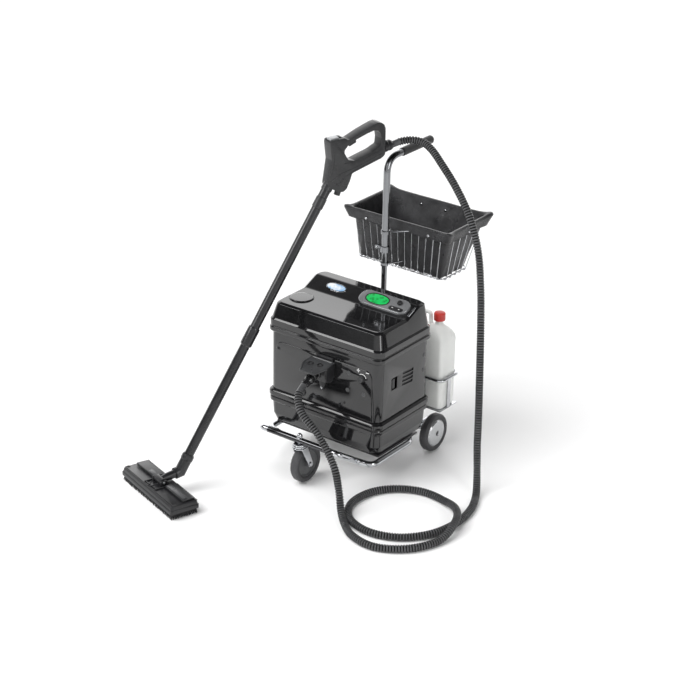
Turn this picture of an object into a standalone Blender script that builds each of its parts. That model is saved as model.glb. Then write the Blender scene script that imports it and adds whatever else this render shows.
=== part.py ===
"""Commercial steam cleaner on a three-wheel trolley, with a steam gun, floor tool and accessory basket.

Metres, +Z up.  The front of the machine faces -Y and its right-hand side is +X.  Everything is laid out
in a machine frame whose Z axis goes up through the middle of the housing, and the last step slides the
whole object sideways so that the world origin lies under the middle of its footprint.
"""
import math

import bmesh
import bpy
from mathutils import Matrix, Vector

# ---------------------------------------------------------------- driving dimensions
GAP = 0.0003                    # clearance between touching pieces

HOUSING_HALF_X = 0.220          # belts of the housing, the widest section
HOUSING_HALF_Y = 0.143
HOUSING_CORNER = 0.026
WALL = 0.003
WAIST_INSET = 0.008             # the middle section is slimmer than the belts
SHELL_BOTTOM_Z = 0.107
LOWER_BELT_Z = 0.226            # top of the lower shell
HOOD_SEAM_Z = 0.427
HOOD_BELT_TOP_Z = 0.472
HOOD_TOP_Z = 0.524              # front plateau of the hood
CONSOLE_RISE = 0.026            # the rear plateau is this much higher
CONSOLE_FRONT_Y = 0.022
CONSOLE_REAR_Y = 0.082
FILLER = (-0.151, -0.053)       # middle of the filler cap on the front plateau
POD_CENTRE = (0.089, 0.0535)    # control pod on the console
POD_HALF = (0.102, 0.0295)
POD_CORNER = 0.027
POD_TOP = 0.0085                # its height over the console
WINDOW_X = 0.062
KNOB_AT = (0.146, 0.0620)
ROCKER_AT = (0.146, 0.0390)
INLET_X = 0.120                 # gland for the mains cord, on the rear
INLET_Z = 0.270
INLET_RADIUS = 0.0135
PANEL_TOP_Z = 0.398             # arched front panel
PANEL_HALF_X = 0.188
PANEL_SPRING_Z = 0.372
PANEL_THICKNESS = 0.0025
DIAL_X = 0.151
DIAL_Z = 0.367
FLAP_HINGE = (0.011, -0.1530, 0.3960)
FLAP_TILT = 6.0                 # degrees the lid droops at rest
BOILER_CENTRE = (0.090, 0.010)
BOILER_RADIUS = 0.080
TANK_CENTRE = (-0.108, 0.008)

WHEEL_RADIUS = 0.063
WHEEL_SIDES = 36
WHEEL_WIDTH = 0.030
WHEEL_CENTRE_X = 0.1955
REAR_AXLE_Y = 0.200
AXLE_RADIUS = 0.006
TREAD_Z = WHEEL_RADIUS * math.cos(math.pi / WHEEL_SIDES)    # centre height with a flat facet down

RAIL_RADIUS = 0.010
RAIL_Z = 0.089
FRONT_BAR_Y = -0.251
FRONT_BAR_Z = 0.152
CASTER_TRAIL = 0.031

POST_Y = 0.176
SOCKET_FLOOR_Z = 0.104          # the post stands in a short socket on the cross tube
SOCKET_TOP_Z = 0.160
POST_SPLIT_Z = 0.656
POST_TOP_Z = 0.957
LOWER_POST_RADIUS = 0.009
UPPER_POST_RADIUS = 0.011
GRIP_RADIUS = 0.0135
GRIP_START_Y = 0.252
GRIP_END_Y = 0.412

BASKET_TOP_Z = 0.727
BASKET_REST_Z = 0.606
BASKET_BOTTOM_Z = 0.567
BASKET_TOP = (0.192, 0.112)     # half sizes at the rim
BASKET_BOTTOM = (0.166, 0.072)  # half sizes at the base
BASKET_TOP_Y = 0.357
BASKET_BOTTOM_Y = 0.330
WIRE_RADIUS = 0.0017
RIM_RADIUS = 0.0030

BOTTLE_CENTRE = (0.165, 0.225)
BOTTLE_HALF = (0.063, 0.042)
BOTTLE_BOTTOM_Z = 0.156
BOTTLE_SHOULDER_Z = 0.409
BOTTLE_NECK_Z = 0.447
BOTTLE_CAP_Z = 0.474
BOTTLE_RING_Z = 0.262           # the band that steadies the bottle
BOTTLE_NECK_SHIFT = 0.020       # the neck stands outboard of the bottle's middle

TOOL_CENTRE = (-0.286, -0.580)  # middle of the floor tool on the floor
TOOL_YAW = math.radians(-19.0)
TOOL_HALF = (0.155, 0.050)
WAND_FOOT = (0.104, 0.115)      # (along the wand's plane, up) where the wand leaves the elbow
WAND_HEAD = (0.604, 0.897)      # where it enters the gun
WAND_JOINT = 0.445              # share of the wand below its push-fit collar
WAND_RADIUS = 0.0165
ELBOW_RADIUS = 0.0180
ELBOW_REACH = 0.0593            # from the wand's foot back to the corner of the elbow
TRIGGER_PIVOT = (0.6995, 1.0380)
GUN_REAR = 0.803                # flat rear face of the gun that the hose collar stands on

HOSE_RADIUS = 0.0105
HOSE_END_STRAIGHT = 0.009       # the hose leaves each fitting square to its face

# Route of the steam hose from the gun's collar, over the push handle, down to the floor, once round
# a loose loop and up to the plug on the machine's front (machine frame).
HOSE_ROUTE = [
    (-0.012, 0.212, 0.990),
    (0.003, 0.242, 0.996),
    (0.030, 0.264, 1.000),
    (0.066, 0.272, 0.997),
    (0.104, 0.263, 0.985),
    (0.160, 0.240, 0.955),
    (0.235, 0.208, 0.908),
    (0.310, 0.174, 0.842),
    (0.365, 0.146, 0.752),
    (0.397, 0.121, 0.640),
    (0.416, 0.102, 0.520),
    (0.435, 0.086, 0.240),
    (0.440, 0.080, 0.140),
    (0.454, 0.064, 0.065),
    (0.486, 0.014, 0.017),
    (0.520, -0.065, 0.011),
    (0.533, -0.160, 0.011),
    (0.510, -0.265, 0.011),
    (0.445, -0.342, 0.011),
    (0.358, -0.372, 0.011),
    (0.272, -0.348, 0.011),
    (0.218, -0.278, 0.011),
    (0.216, -0.188, 0.011),
    (0.258, -0.115, 0.011),
    (0.335, -0.072, 0.011),
    (0.425, -0.076, 0.013),
    (0.500, -0.120, 0.029),
    (0.545, -0.188, 0.034),
    (0.553, -0.280, 0.014),
    (0.508, -0.375, 0.011),
    (0.420, -0.432, 0.011),
    (0.330, -0.420, 0.011),
    (0.244, -0.354, 0.019),
    (0.204, -0.318, 0.075),
    (0.184, -0.318, 0.150),
    (0.120, -0.315, 0.236),
    (0.0500, -0.3080, 0.2880),
    (0.0160, -0.2800, 0.3220),
    (0.0080, -0.2438, 0.3407),
]
PLUG_ROOT = (0.008, -0.187, 0.360)

OBJECTS = {}


# ---------------------------------------------------------------- materials and nodes
def material(name, colour, roughness, metallic=0.0):
    made = bpy.data.materials.new(name)
    made.use_nodes = True
    shader = made.node_tree.nodes["Principled BSDF"]
    shader.inputs["Base Color"].default_value = (*colour, 1.0)
    shader.inputs["Roughness"].default_value = roughness
    shader.inputs["Metallic"].default_value = metallic
    return made


def build_materials():
    return {
        "black_gloss": material("black_gloss", (0.012, 0.012, 0.013), 0.12),
        "black_satin": material("black_satin", (0.030, 0.030, 0.032), 0.45),
        "grey_satin": material("grey_satin", (0.060, 0.062, 0.065), 0.40),
        "silver": material("silver", (0.62, 0.63, 0.64), 0.32, 0.6),
        "chrome": material("chrome", (0.80, 0.81, 0.82), 0.10, 1.0),
        "steel": material("steel", (0.45, 0.46, 0.47), 0.35, 1.0),
        "brass": material("brass", (0.62, 0.45, 0.18), 0.30, 1.0),
        "rubber": material("rubber", (0.035, 0.035, 0.037), 0.75),
        "hub_grey": material("hub_grey", (0.34, 0.35, 0.36), 0.45),
        "display": material("display", (0.02, 0.50, 0.12), 0.15),
        "vinyl": material("vinyl", (0.020, 0.020, 0.022), 0.40),
        "bottle": material("bottle", (0.82, 0.82, 0.79), 0.35),
        "red": material("red", (0.62, 0.03, 0.02), 0.35),
        "board": material("board", (0.03, 0.22, 0.08), 0.45),
        "tank": material("tank", (0.70, 0.71, 0.70), 0.45),
    }


def new_empty(name, location=(0.0, 0.0, 0.0), parent=None, yaw=0.0):
    empty = bpy.data.objects.new(name, None)
    bpy.context.scene.collection.objects.link(empty)
    empty.location = location
    empty.rotation_euler = (0.0, 0.0, yaw)
    empty.parent = parent
    return empty


def add_node(name, mesh_builder, finish, parent, pivot=(0.0, 0.0, 0.0), smooth_angle=35.0):
    """Turn a bmesh in the parent's frame into a named object whose origin lies at pivot."""
    pivot = Vector(pivot)
    bmesh.ops.translate(mesh_builder, verts=mesh_builder.verts, vec=-pivot)
    bmesh.ops.recalc_face_normals(mesh_builder, faces=mesh_builder.faces)
    if mesh_builder.calc_volume(signed=True) < 0.0:
        bmesh.ops.reverse_faces(mesh_builder, faces=mesh_builder.faces)
    mesh = bpy.data.meshes.new(name)
    mesh_builder.to_mesh(mesh)
    mesh_builder.free()
    mesh.shade_smooth()
    mesh.set_sharp_from_angle(angle=math.radians(smooth_angle))
    mesh.materials.append(finish)
    made = bpy.data.objects.new(name, mesh)
    bpy.context.scene.collection.objects.link(made)
    made.location = pivot
    made.parent = parent
    OBJECTS[name] = made
    return made


def add_bevel(target, width, segments=2):
    bevel = target.modifiers.new("edges", "BEVEL")
    bevel.width = width
    bevel.segments = segments
    bevel.limit_method = "ANGLE"
    bevel.angle_limit = math.radians(40.0)
    bevel.harden_normals = False
    return bevel


def add_cutter(name, mesh_builder, target, operation="DIFFERENCE"):
    """A hidden solid, in the target's own frame, that is cut out of it or joined to it."""
    bmesh.ops.recalc_face_normals(mesh_builder, faces=mesh_builder.faces)
    if mesh_builder.calc_volume(signed=True) < 0.0:
        bmesh.ops.reverse_faces(mesh_builder, faces=mesh_builder.faces)
    mesh = bpy.data.meshes.new(name)
    mesh_builder.to_mesh(mesh)
    mesh_builder.free()
    cutter = bpy.data.objects.new(name, mesh)
    bpy.context.scene.collection.objects.link(cutter)
    cutter.parent = target
    cutter.hide_render = True
    cutter.display_type = "WIRE"
    boolean = target.modifiers.new(name, "BOOLEAN")
    boolean.operation = operation
    boolean.solver = "EXACT"
    boolean.object = cutter
    return cutter


# ---------------------------------------------------------------- shapes
def rounded_rectangle(half_x, half_y, radius, z, centre=(0.0, 0.0), segments=4):
    """Corner arcs of a rounded rectangle at height z, anticlockwise from the right-hand side."""
    points = []
    for quarter in range(4):
        sign_x = 1.0 if quarter in (0, 3) else -1.0
        sign_y = 1.0 if quarter in (0, 1) else -1.0
        for step in range(segments + 1):
            angle = math.radians(90.0 * (quarter + step / segments))
            x = centre[0] + sign_x * (half_x - radius) + radius * math.cos(angle)
            y = centre[1] + sign_y * (half_y - radius) + radius * math.sin(angle)
            points.append(Vector((x, y, z)))
    return points


def loft(sections, ring=False):
    """Skin a stack of loops with equal point counts; a ring joins its last loop to its first."""
    made = bmesh.new()
    loops = [[made.verts.new(point) for point in section] for section in sections]
    pairs = list(zip(loops, loops[1:]))
    if ring:
        pairs.append((loops[-1], loops[0]))
    for lower, upper in pairs:
        count = len(lower)
        for index in range(count):
            after = (index + 1) % count
            made.faces.new((lower[index], lower[after], upper[after], upper[index]))
    if not ring:
        made.faces.new(list(reversed(loops[0])))
        made.faces.new(loops[-1])
    return made


def lathe(profile, sides, centre=(0.0, 0.0, 0.0), axis=(0.0, 0.0, 1.0), ring=False, phase=0.0):
    """Turn (radius, height) points about an axis; radius 0 closes an end, and a ring has a bore."""
    made = bmesh.new()
    turn = Vector((0.0, 0.0, 1.0)).rotation_difference(Vector(axis).normalized()).to_matrix()
    loops = []
    for radius, height in profile:
        count = 1 if radius == 0.0 else sides
        loop = []
        for index in range(count):
            angle = 2.0 * math.pi * (index + phase) / sides
            point = Vector((radius * math.cos(angle), radius * math.sin(angle), height))
            loop.append(made.verts.new(Vector(centre) + turn @ point))
        loops.append(loop)
    pairs = list(zip(loops, loops[1:]))
    if ring:
        pairs.append((loops[-1], loops[0]))
    for lower, upper in pairs:
        for index in range(sides):
            after = (index + 1) % sides
            if len(lower) == 1:
                made.faces.new((lower[0], upper[after], upper[index]))
            elif len(upper) == 1:
                made.faces.new((lower[index], lower[after], upper[0]))
            else:
                made.faces.new((lower[index], lower[after], upper[after], upper[index]))
    if not ring and len(loops[0]) > 1:
        made.faces.new(loops[0])
    if not ring and len(loops[-1]) > 1:
        made.faces.new(loops[-1])
    return made


def block(low, high):
    made = bmesh.new()
    bmesh.ops.create_cube(made, size=1.0)
    low = Vector(low)
    high = Vector(high)
    for vert in made.verts:
        vert.co = Vector([low[i] + (vert.co[i] + 0.5) * (high[i] - low[i]) for i in range(3)])
    return made


def tilt(mesh_builder, degrees, axis, centre):
    """Turn a bmesh about an axis through centre."""
    spin = Matrix.Rotation(math.radians(degrees), 3, Vector(axis))
    bmesh.ops.rotate(mesh_builder, verts=mesh_builder.verts, cent=Vector(centre), matrix=spin)
    return mesh_builder


def prism(outline, low_x, high_x):
    """Extrude a (y, z) outline along X."""
    return loft([[Vector((x, y, z)) for y, z in outline] for x in (low_x, high_x)])


def curve_through(points, spacing):
    """Centripetal Catmull-Rom curve through the points, read at an even spacing."""
    knots = [Vector(point) for point in points]
    first = knots[0] * 2.0 - knots[1]
    last = knots[-1] * 2.0 - knots[-2]
    knots = [first] + knots + [last]
    dense = []
    for i in range(1, len(knots) - 2):
        a, b, c, d = knots[i - 1:i + 3]
        tb = (b - a).length ** 0.5
        tc = tb + (c - b).length ** 0.5
        td = tc + (d - c).length ** 0.5
        for step in range(16):
            t = tb + (tc - tb) * step / 16.0
            ab = a.lerp(b, t / tb)
            bc = b.lerp(c, (t - tb) / (tc - tb))
            cd = c.lerp(d, (t - tc) / (td - tc))
            dense.append(ab.lerp(bc, t / tc).lerp(bc.lerp(cd, (t - tb) / (td - tb)), (t - tb) / (tc - tb)))
    dense.append(knots[-2])
    lengths = [0.0]
    for before, after in zip(dense, dense[1:]):
        lengths.append(lengths[-1] + (after - before).length)
    count = max(2, round(lengths[-1] / spacing))
    even = []
    index = 0
    for step in range(count + 1):
        wanted = lengths[-1] * step / count
        while index < len(lengths) - 2 and lengths[index + 1] < wanted:
            index += 1
        share = (wanted - lengths[index]) / (lengths[index + 1] - lengths[index])
        even.append(dense[index].lerp(dense[index + 1], min(1.0, share)))
    return even


def rounded_path(corners, radius, steps=4):
    """Replace each inner corner of a bent tube's centre line by an arc of the given bend radius."""
    corners = [Vector(corner) for corner in corners]
    path = [corners[0]]
    for before, corner, after in zip(corners, corners[1:], corners[2:]):
        to_before = (before - corner).normalized()
        to_after = (after - corner).normalized()
        half = to_before.angle(to_after) / 2.0
        reach = min(radius / math.tan(half), 0.48 * (before - corner).length, 0.48 * (after - corner).length)
        start = corner + to_before * reach
        end = corner + to_after * reach
        for step in range(steps + 1):
            t = step / steps
            path.append(start.lerp(corner, t).lerp(corner.lerp(end, t), t))
    path.append(corners[-1])
    return path


def sweep(path, radius, sides=10, radii=None):
    """Closed solid tube along a path, carried without twist."""
    path = [Vector(point) for point in path]
    radii = radii or [radius] * len(path)
    tangents = []
    for index in range(len(path)):
        before = path[max(0, index - 1)]
        after = path[min(len(path) - 1, index + 1)]
        tangents.append((after - before).normalized())
    side = tangents[0].orthogonal().normalized()
    sections = []
    for index, point in enumerate(path):
        side = (side - tangents[index] * side.dot(tangents[index])).normalized()
        other = tangents[index].cross(side)
        loop = []
        for corner in range(sides):
            angle = 2.0 * math.pi * corner / sides
            loop.append(point + (side * math.cos(angle) + other * math.sin(angle)) * radii[index])
        sections.append(loop)
    return loft(sections)


def mitred_pipe(points, radius, sides):
    """Solid round pipe along a few straight runs, with a flat mitre where two runs meet."""
    runs = [(after - before).normalized() for before, after in zip(points, points[1:])]
    side = runs[0].orthogonal().normalized()
    other = runs[0].cross(side)
    ring = []
    for index in range(sides):
        angle = 2.0 * math.pi * index / sides
        ring.append(points[0] + (side * math.cos(angle) + other * math.sin(angle)) * radius)
    sections = [ring]
    for index, run in enumerate(runs):
        normal = run
        if index + 1 < len(runs):
            normal = (run + runs[index + 1]).normalized()
        ring = [point + run * ((points[index + 1] - point).dot(normal) / run.dot(normal)) for point in ring]
        sections.append(ring)
    return loft(sections)


def join(*builders):
    """Several closed shapes in one bmesh, for a cutter made of separate solids."""
    made = bmesh.new()
    for builder in builders:
        mesh = bpy.data.meshes.new("join")
        builder.to_mesh(mesh)
        builder.free()
        made.from_mesh(mesh)
        bpy.data.meshes.remove(mesh)
    return made


# ---------------------------------------------------------------- trolley
def build_trolley(root, finish):
    bar_end = 0.122
    bar = sweep([(-bar_end, FRONT_BAR_Y, FRONT_BAR_Z), (bar_end, FRONT_BAR_Y, FRONT_BAR_Z)], RAIL_RADIUS, 12)
    front_bar = add_node("front_bar", bar, finish["chrome"], root)
    bolt_hole = lathe([(0.0056, -0.02), (0.0056, 0.02)], 12, (0.0, FRONT_BAR_Y, FRONT_BAR_Z))
    add_cutter("front_bar_hole", bolt_hole, front_bar)
    for side, name in ((-1.0, "left"), (1.0, "right")):
        path = rounded_path([
            (side * (bar_end + GAP), FRONT_BAR_Y, FRONT_BAR_Z),
            (side * 0.150, FRONT_BAR_Y, FRONT_BAR_Z),
            (side * 0.150, -0.152, RAIL_Z),
            (side * 0.204, -0.148, RAIL_Z),
            (side * 0.204, 0.050, RAIL_Z),
            (side * 0.160, 0.112, RAIL_Z),
            (side * 0.160, 0.224, RAIL_Z),
        ], 0.030)
        rail = add_node("rail_" + name, sweep(path, RAIL_RADIUS), finish["chrome"], root)
        plate = block((side * 0.160 - 0.0025, REAR_AXLE_Y - 0.016, 0.050),
                      (side * 0.160 + 0.0025, REAR_AXLE_Y + 0.016, RAIL_Z))
        add_cutter("axle_plate_" + name, plate, rail, "UNION")
        hole = lathe([(AXLE_RADIUS + GAP * 2, -0.01), (AXLE_RADIUS + GAP * 2, 0.01)], 16,
                     (side * 0.160, REAR_AXLE_Y, TREAD_Z), (1.0, 0.0, 0.0))
        add_cutter("axle_hole_" + name, hole, rail)
    inner = 0.160 - RAIL_RADIUS - GAP
    cross = sweep([(-inner, POST_Y, RAIL_Z), (inner, POST_Y, RAIL_Z)], RAIL_RADIUS, 12)
    cross_tube = add_node("cross_tube", cross, finish["chrome"], root)
    seat = lathe([(0.0, SOCKET_FLOOR_Z), (0.0096, SOCKET_FLOOR_Z), (0.0096, SOCKET_TOP_Z),
                  (0.0135, SOCKET_TOP_Z),
                  (0.0135, RAIL_Z), (0.0, RAIL_Z)], 16, (0.0, POST_Y, 0.0))
    add_cutter("post_socket", seat, cross_tube, "UNION")
    deck = block((-0.200, -0.110, RAIL_Z + RAIL_RADIUS + GAP), (0.200, 0.100, SHELL_BOTTOM_Z - GAP))
    add_node("deck_plate", deck, finish["steel"], root)
    axle = lathe([(AXLE_RADIUS, -0.2065), (AXLE_RADIUS, 0.2065)], 16, (0.0, REAR_AXLE_Y, TREAD_Z),
                 (1.0, 0.0, 0.0))
    add_node("rear_axle", axle, finish["steel"], root)


def wheel_tyre(centre, inner_radius, width):
    half = width / 2.0
    shoulder = 0.004
    crown = WHEEL_RADIUS
    profile = [
        (inner_radius, -half + 0.003),
        (crown - 0.010, -half),
        (crown - 0.0012, -half + shoulder),
        (crown, -half + shoulder * 2.0),
        (crown, half - shoulder * 2.0),
        (crown - 0.0012, half - shoulder),
        (crown - 0.010, half),
        (inner_radius, half - 0.003),
    ]
    phase = 0.5 if WHEEL_SIDES % 4 == 0 else 0.0
    return lathe(profile, WHEEL_SIDES, centre, (1.0, 0.0, 0.0), ring=True, phase=phase)


def wheel_hub(centre, outer_radius, width, bore):
    half = width / 2.0
    web = 0.006
    profile = [
        (bore, -half),
        (0.014, -half),
        (0.014, -web),
        (outer_radius - 0.005, -web),
        (outer_radius - 0.002, -half + 0.004),
        (outer_radius, -half + 0.004),
        (outer_radius, half - 0.004),
        (outer_radius - 0.002, half - 0.004),
        (outer_radius - 0.005, web),
        (0.014, web),
        (0.014, half),
        (bore, half),
    ]
    return lathe(profile, 24, centre, (1.0, 0.0, 0.0), ring=True)


def build_rear_wheels(root, finish):
    for side, name in ((-1.0, "left"), (1.0, "right")):
        centre = (side * WHEEL_CENTRE_X, REAR_AXLE_Y, TREAD_Z)
        tyre = wheel_tyre(centre, 0.0455, WHEEL_WIDTH)
        add_node("rear_tyre_" + name, tyre, finish["rubber"], root, centre)
        bore = AXLE_RADIUS + 0.0004
        hub = lathe([
            (bore, -0.0120),
            (0.0140, -0.0120),
            (0.0140, -0.0060),
            (0.0398, -0.0060),
            (0.0425, -0.0090),
            (0.0448, -0.0090),
            (0.0448, 0.0100),
            (0.0436, 0.0125),
            (0.0400, 0.0152),
            (0.0200, 0.0172),
            (0.0080, 0.0176),
            (bore, 0.0160),
        ], 24, centre, (side, 0.0, 0.0), ring=True)
        add_node("rear_hub_" + name, hub, finish["silver"], root, centre)


def build_caster(root, finish):
    stem = (0.0, FRONT_BAR_Y, 0.0)
    hub_centre = (0.0, FRONT_BAR_Y + CASTER_TRAIL, TREAD_Z)
    bar_top = FRONT_BAR_Z + RAIL_RADIUS
    bar_bottom = FRONT_BAR_Z - RAIL_RADIUS
    bolt = lathe([
        (0.0, bar_top + 0.0150),
        (0.0055, bar_top + 0.0130),
        (0.0080, bar_top + 0.0080),
        (0.0088, bar_top + GAP),
        (0.0050, bar_top + GAP),
        (0.0050, bar_bottom - GAP),
        (0.0190, bar_bottom - GAP * 2),
        (0.0190, bar_bottom - 0.0050),
        (0.0215, bar_bottom - 0.0060),
        (0.0215, bar_bottom - 0.0105),
        (0.0, bar_bottom - 0.0105),
    ], 24, stem)
    add_node("caster_stem", bolt, finish["chrome"], root)
    crown_top = bar_bottom - 0.0108
    crown_bottom = WHEEL_RADIUS * 2.0 + 0.0012
    crown = lathe([(0.0, crown_top), (0.0205, crown_top), (0.0225, crown_top - 0.0012),
                   (0.0225, crown_bottom),
                   (0.0, crown_bottom)], 24, stem)
    fork = add_node("caster_fork", crown, finish["chrome"], root, stem, 30.0)
    for side in (-1.0, 1.0):
        inner = 0.0178
        outer = 0.0208
        leg = [
            (FRONT_BAR_Y - 0.012, crown_bottom + 0.0020),
            (FRONT_BAR_Y + 0.014, crown_bottom + 0.0020),
            (hub_centre[1] + 0.0125, TREAD_Z + 0.004),
            (hub_centre[1] + 0.0070, TREAD_Z - 0.009),
            (hub_centre[1] - 0.0070, TREAD_Z - 0.009),
            (hub_centre[1] - 0.0125, TREAD_Z + 0.004),
        ]
        low, high = sorted((side * inner, side * outer))
        plate = prism(leg, low, high)
        bmesh.ops.translate(plate, verts=plate.verts, vec=-Vector(stem))
        add_cutter("caster_leg_" + ("right" if side > 0 else "left"), plate, fork, "UNION")
    pin = lathe([(0.0075, -0.0245), (0.0075, -0.0200), (0.0045, -0.0200), (0.0045, 0.0200),
                 (0.0075, 0.0200), (0.0075, 0.0245)], 16, hub_centre, (1.0, 0.0, 0.0))
    bmesh.ops.translate(pin, verts=pin.verts, vec=-Vector(stem))
    add_cutter("caster_axle", pin, fork, "UNION")
    tyre = wheel_tyre(hub_centre, 0.0455, 0.0300)
    add_node("caster_tyre", tyre, finish["rubber"], root, hub_centre)
    hub = wheel_hub(hub_centre, 0.0448, 0.0310, 0.0052)
    add_node("caster_hub", hub, finish["hub_grey"], root, hub_centre)


# ---------------------------------------------------------------- push post
def build_post(root, finish):
    lower = lathe([(LOWER_POST_RADIUS, SOCKET_FLOOR_Z + GAP), (LOWER_POST_RADIUS, POST_SPLIT_Z - GAP)], 16,
                  (0.0, POST_Y, 0.0))
    add_node("post_lower", lower, finish["chrome"], root)
    path = rounded_path([(0.0, POST_Y, POST_SPLIT_Z), (0.0, POST_Y, POST_TOP_Z),
                         (0.0, GRIP_END_Y - 0.006, POST_TOP_Z)],
                        0.052, 7)
    add_node("push_post", sweep(path, UPPER_POST_RADIUS, 12), finish["chrome"], root)
    clamp = lathe([(0.0114, POST_SPLIT_Z - 0.010), (0.0114, POST_SPLIT_Z + 0.012),
                   (0.0160, POST_SPLIT_Z + 0.012),
                   (0.0160, POST_SPLIT_Z - 0.010)], 16, (0.0, POST_Y, 0.0), ring=True)
    clamp_ring = add_node("post_clamp", clamp, finish["chrome"], root)
    ear = block((-0.036, POST_Y - 0.005, POST_SPLIT_Z - 0.006),
                (-0.0135, POST_Y + 0.005, POST_SPLIT_Z + 0.008))
    add_cutter("post_clamp_ear", ear, clamp_ring, "UNION")
    grip_bore = UPPER_POST_RADIUS + 0.0007
    grip = lathe([
        (0.0, GRIP_END_Y - 0.004),
        (grip_bore, GRIP_END_Y - 0.004),
        (grip_bore, GRIP_START_Y),
        (GRIP_RADIUS - 0.001, GRIP_START_Y),
        (GRIP_RADIUS, GRIP_START_Y + 0.002),
        (GRIP_RADIUS, GRIP_END_Y - 0.003),
        (GRIP_RADIUS - 0.004, GRIP_END_Y + 0.002),
        (0.0, GRIP_END_Y + 0.002),
    ], 16, (0.0, 0.0, POST_TOP_Z), (0.0, 1.0, 0.0))
    add_node("handle_grip", grip, finish["rubber"], root)


# ---------------------------------------------------------------- basket
def basket_section(share):
    """Half sizes, centre and height of the basket's wall, from 0 at its base to 1 at its rim."""
    half_x = BASKET_BOTTOM[0] + (BASKET_TOP[0] - BASKET_BOTTOM[0]) * share
    half_y = BASKET_BOTTOM[1] + (BASKET_TOP[1] - BASKET_BOTTOM[1]) * share
    centre_y = BASKET_BOTTOM_Y + (BASKET_TOP_Y - BASKET_BOTTOM_Y) * share
    height = BASKET_BOTTOM_Z + (BASKET_TOP_Z - BASKET_BOTTOM_Z) * share
    return half_x, half_y, centre_y, height


def basket_loop(share, offset, z_shift=0.0, radius=0.018):
    half_x, half_y, centre_y, height = basket_section(share)
    return rounded_rectangle(half_x + offset, half_y + offset, radius, height + z_shift, (0.0, centre_y), 3)


def wire_ring(share, radius):
    """A closed loop of round wire that follows the basket's wall."""
    half_x, half_y, centre_y, height = basket_section(share)
    sections = []
    corners = rounded_rectangle(half_x, half_y, 0.018, height, (0.0, centre_y), 3)
    count = len(corners)
    for index, point in enumerate(corners):
        tangent = (corners[(index + 1) % count] - corners[index - 1]).normalized()
        out = tangent.cross(Vector((0.0, 0.0, 1.0)))
        loop = []
        for corner in range(6):
            angle = 2.0 * math.pi * corner / 6.0
            loop.append(point + (out * math.cos(angle) + Vector((0.0, 0.0, 1.0)) * math.sin(angle)) * radius)
        sections.append(loop)
    return loft(sections, ring=True)


def basket_rib(at, crosswise, out, pivot):
    """A U-shaped wire down one wall, under the base and up the other wall, relative to the pivot."""
    low_x, low_y, low_centre, low_z = basket_section(0.0)
    top_x, top_y, top_centre, top_z = basket_section(1.0)
    drop = low_z - out
    if crosswise:
        path = [(at * 1.10, top_centre - top_y - out, top_z), (at, low_centre - low_y - out, drop),
                (at, low_centre + low_y + out, drop), (at * 1.10, top_centre + top_y + out, top_z)]
    else:
        path = [(-top_x - out, top_centre + at * 1.4, top_z), (-low_x - out, low_centre + at, drop),
                (low_x + out, low_centre + at, drop), (top_x + out, top_centre + at * 1.4, top_z)]
    rib = sweep(rounded_path(path, 0.004, 2), WIRE_RADIUS, 5)
    bmesh.ops.translate(rib, verts=rib.verts, vec=-Vector(pivot))
    return rib


def build_basket(root, finish):
    pivot = (0.0, BASKET_TOP_Y, BASKET_TOP_Z)
    cage = add_node("basket_wire", wire_ring(1.0, RIM_RADIUS), finish["chrome"], root, pivot)
    base_ring = wire_ring(0.0, RIM_RADIUS)
    bmesh.ops.translate(base_ring, verts=base_ring.verts, vec=-Vector(pivot))
    add_cutter("basket_base_ring", base_ring, cage, "UNION")
    hang = WIRE_RADIUS * 0.9
    across = []
    for x in (-0.125, -0.075, -0.025, 0.025, 0.075, 0.125):
        across.append(basket_rib(x, True, hang, pivot))
    add_cutter("basket_cross_wires", join(*across), cage, "UNION")
    along = []
    for y in (-0.042, 0.0, 0.042):
        along.append(basket_rib(y, False, hang * 2.4, pivot))
    add_cutter("basket_long_wires", join(*along), cage, "UNION")
    clear = RIM_RADIUS + 0.0006
    inside = -clear - 0.0024
    outside = 0.0128
    skin = 0.0020
    flap = 0.78
    tub = [
        basket_loop(0.02, inside, 0.0),
        basket_loop(1.0, inside, 0.004),
        basket_loop(1.0, inside + skin, 0.0075),
        basket_loop(1.0, outside - skin, 0.0075),
        basket_loop(1.0, outside, 0.004),
        basket_loop(flap, outside),
        basket_loop(flap, outside - skin),
        basket_loop(1.0, outside - skin, 0.0035),
        basket_loop(1.0, inside + skin, 0.0045),
        basket_loop(0.0, inside + skin, 0.0010),
    ]
    liner = loft(list(reversed(tub)))
    add_node("basket_liner", liner, finish["vinyl"], root, pivot)


def build_hangers(root, finish):
    """Two rings on the post, each with a rod across its rear that the basket hangs on or leans on."""
    for name, height, half_width in (("basket_hanger", BASKET_TOP_Z - 0.013, 0.052),
                                     ("basket_rest", BASKET_REST_Z, 0.030)):
        bore = (UPPER_POST_RADIUS if height > POST_SPLIT_Z else LOWER_POST_RADIUS) + 0.0005
        ring = lathe([(bore, height - 0.006), (bore, height + 0.006), (bore + 0.004, height + 0.006),
                      (bore + 0.004, height - 0.006)], 16, (0.0, POST_Y, 0.0), ring=True)
        hanger = add_node(name, ring, finish["chrome"], root)
        front_y = POST_Y + bore + 0.0028
        rear_y = BASKET_TOP_Y - BASKET_TOP[1] - 0.0175
        if name == "basket_rest":
            rear_y = 0.2305
        rod = sweep(rounded_path([
            (-half_width, rear_y, height),
            (-half_width * 0.4, front_y + 0.002, height),
            (half_width * 0.4, front_y + 0.002, height),
            (half_width, rear_y, height),
        ], 0.008, 2), 0.0032, 8)
        add_cutter(name + "_rod", rod, hanger, "UNION")


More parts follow.
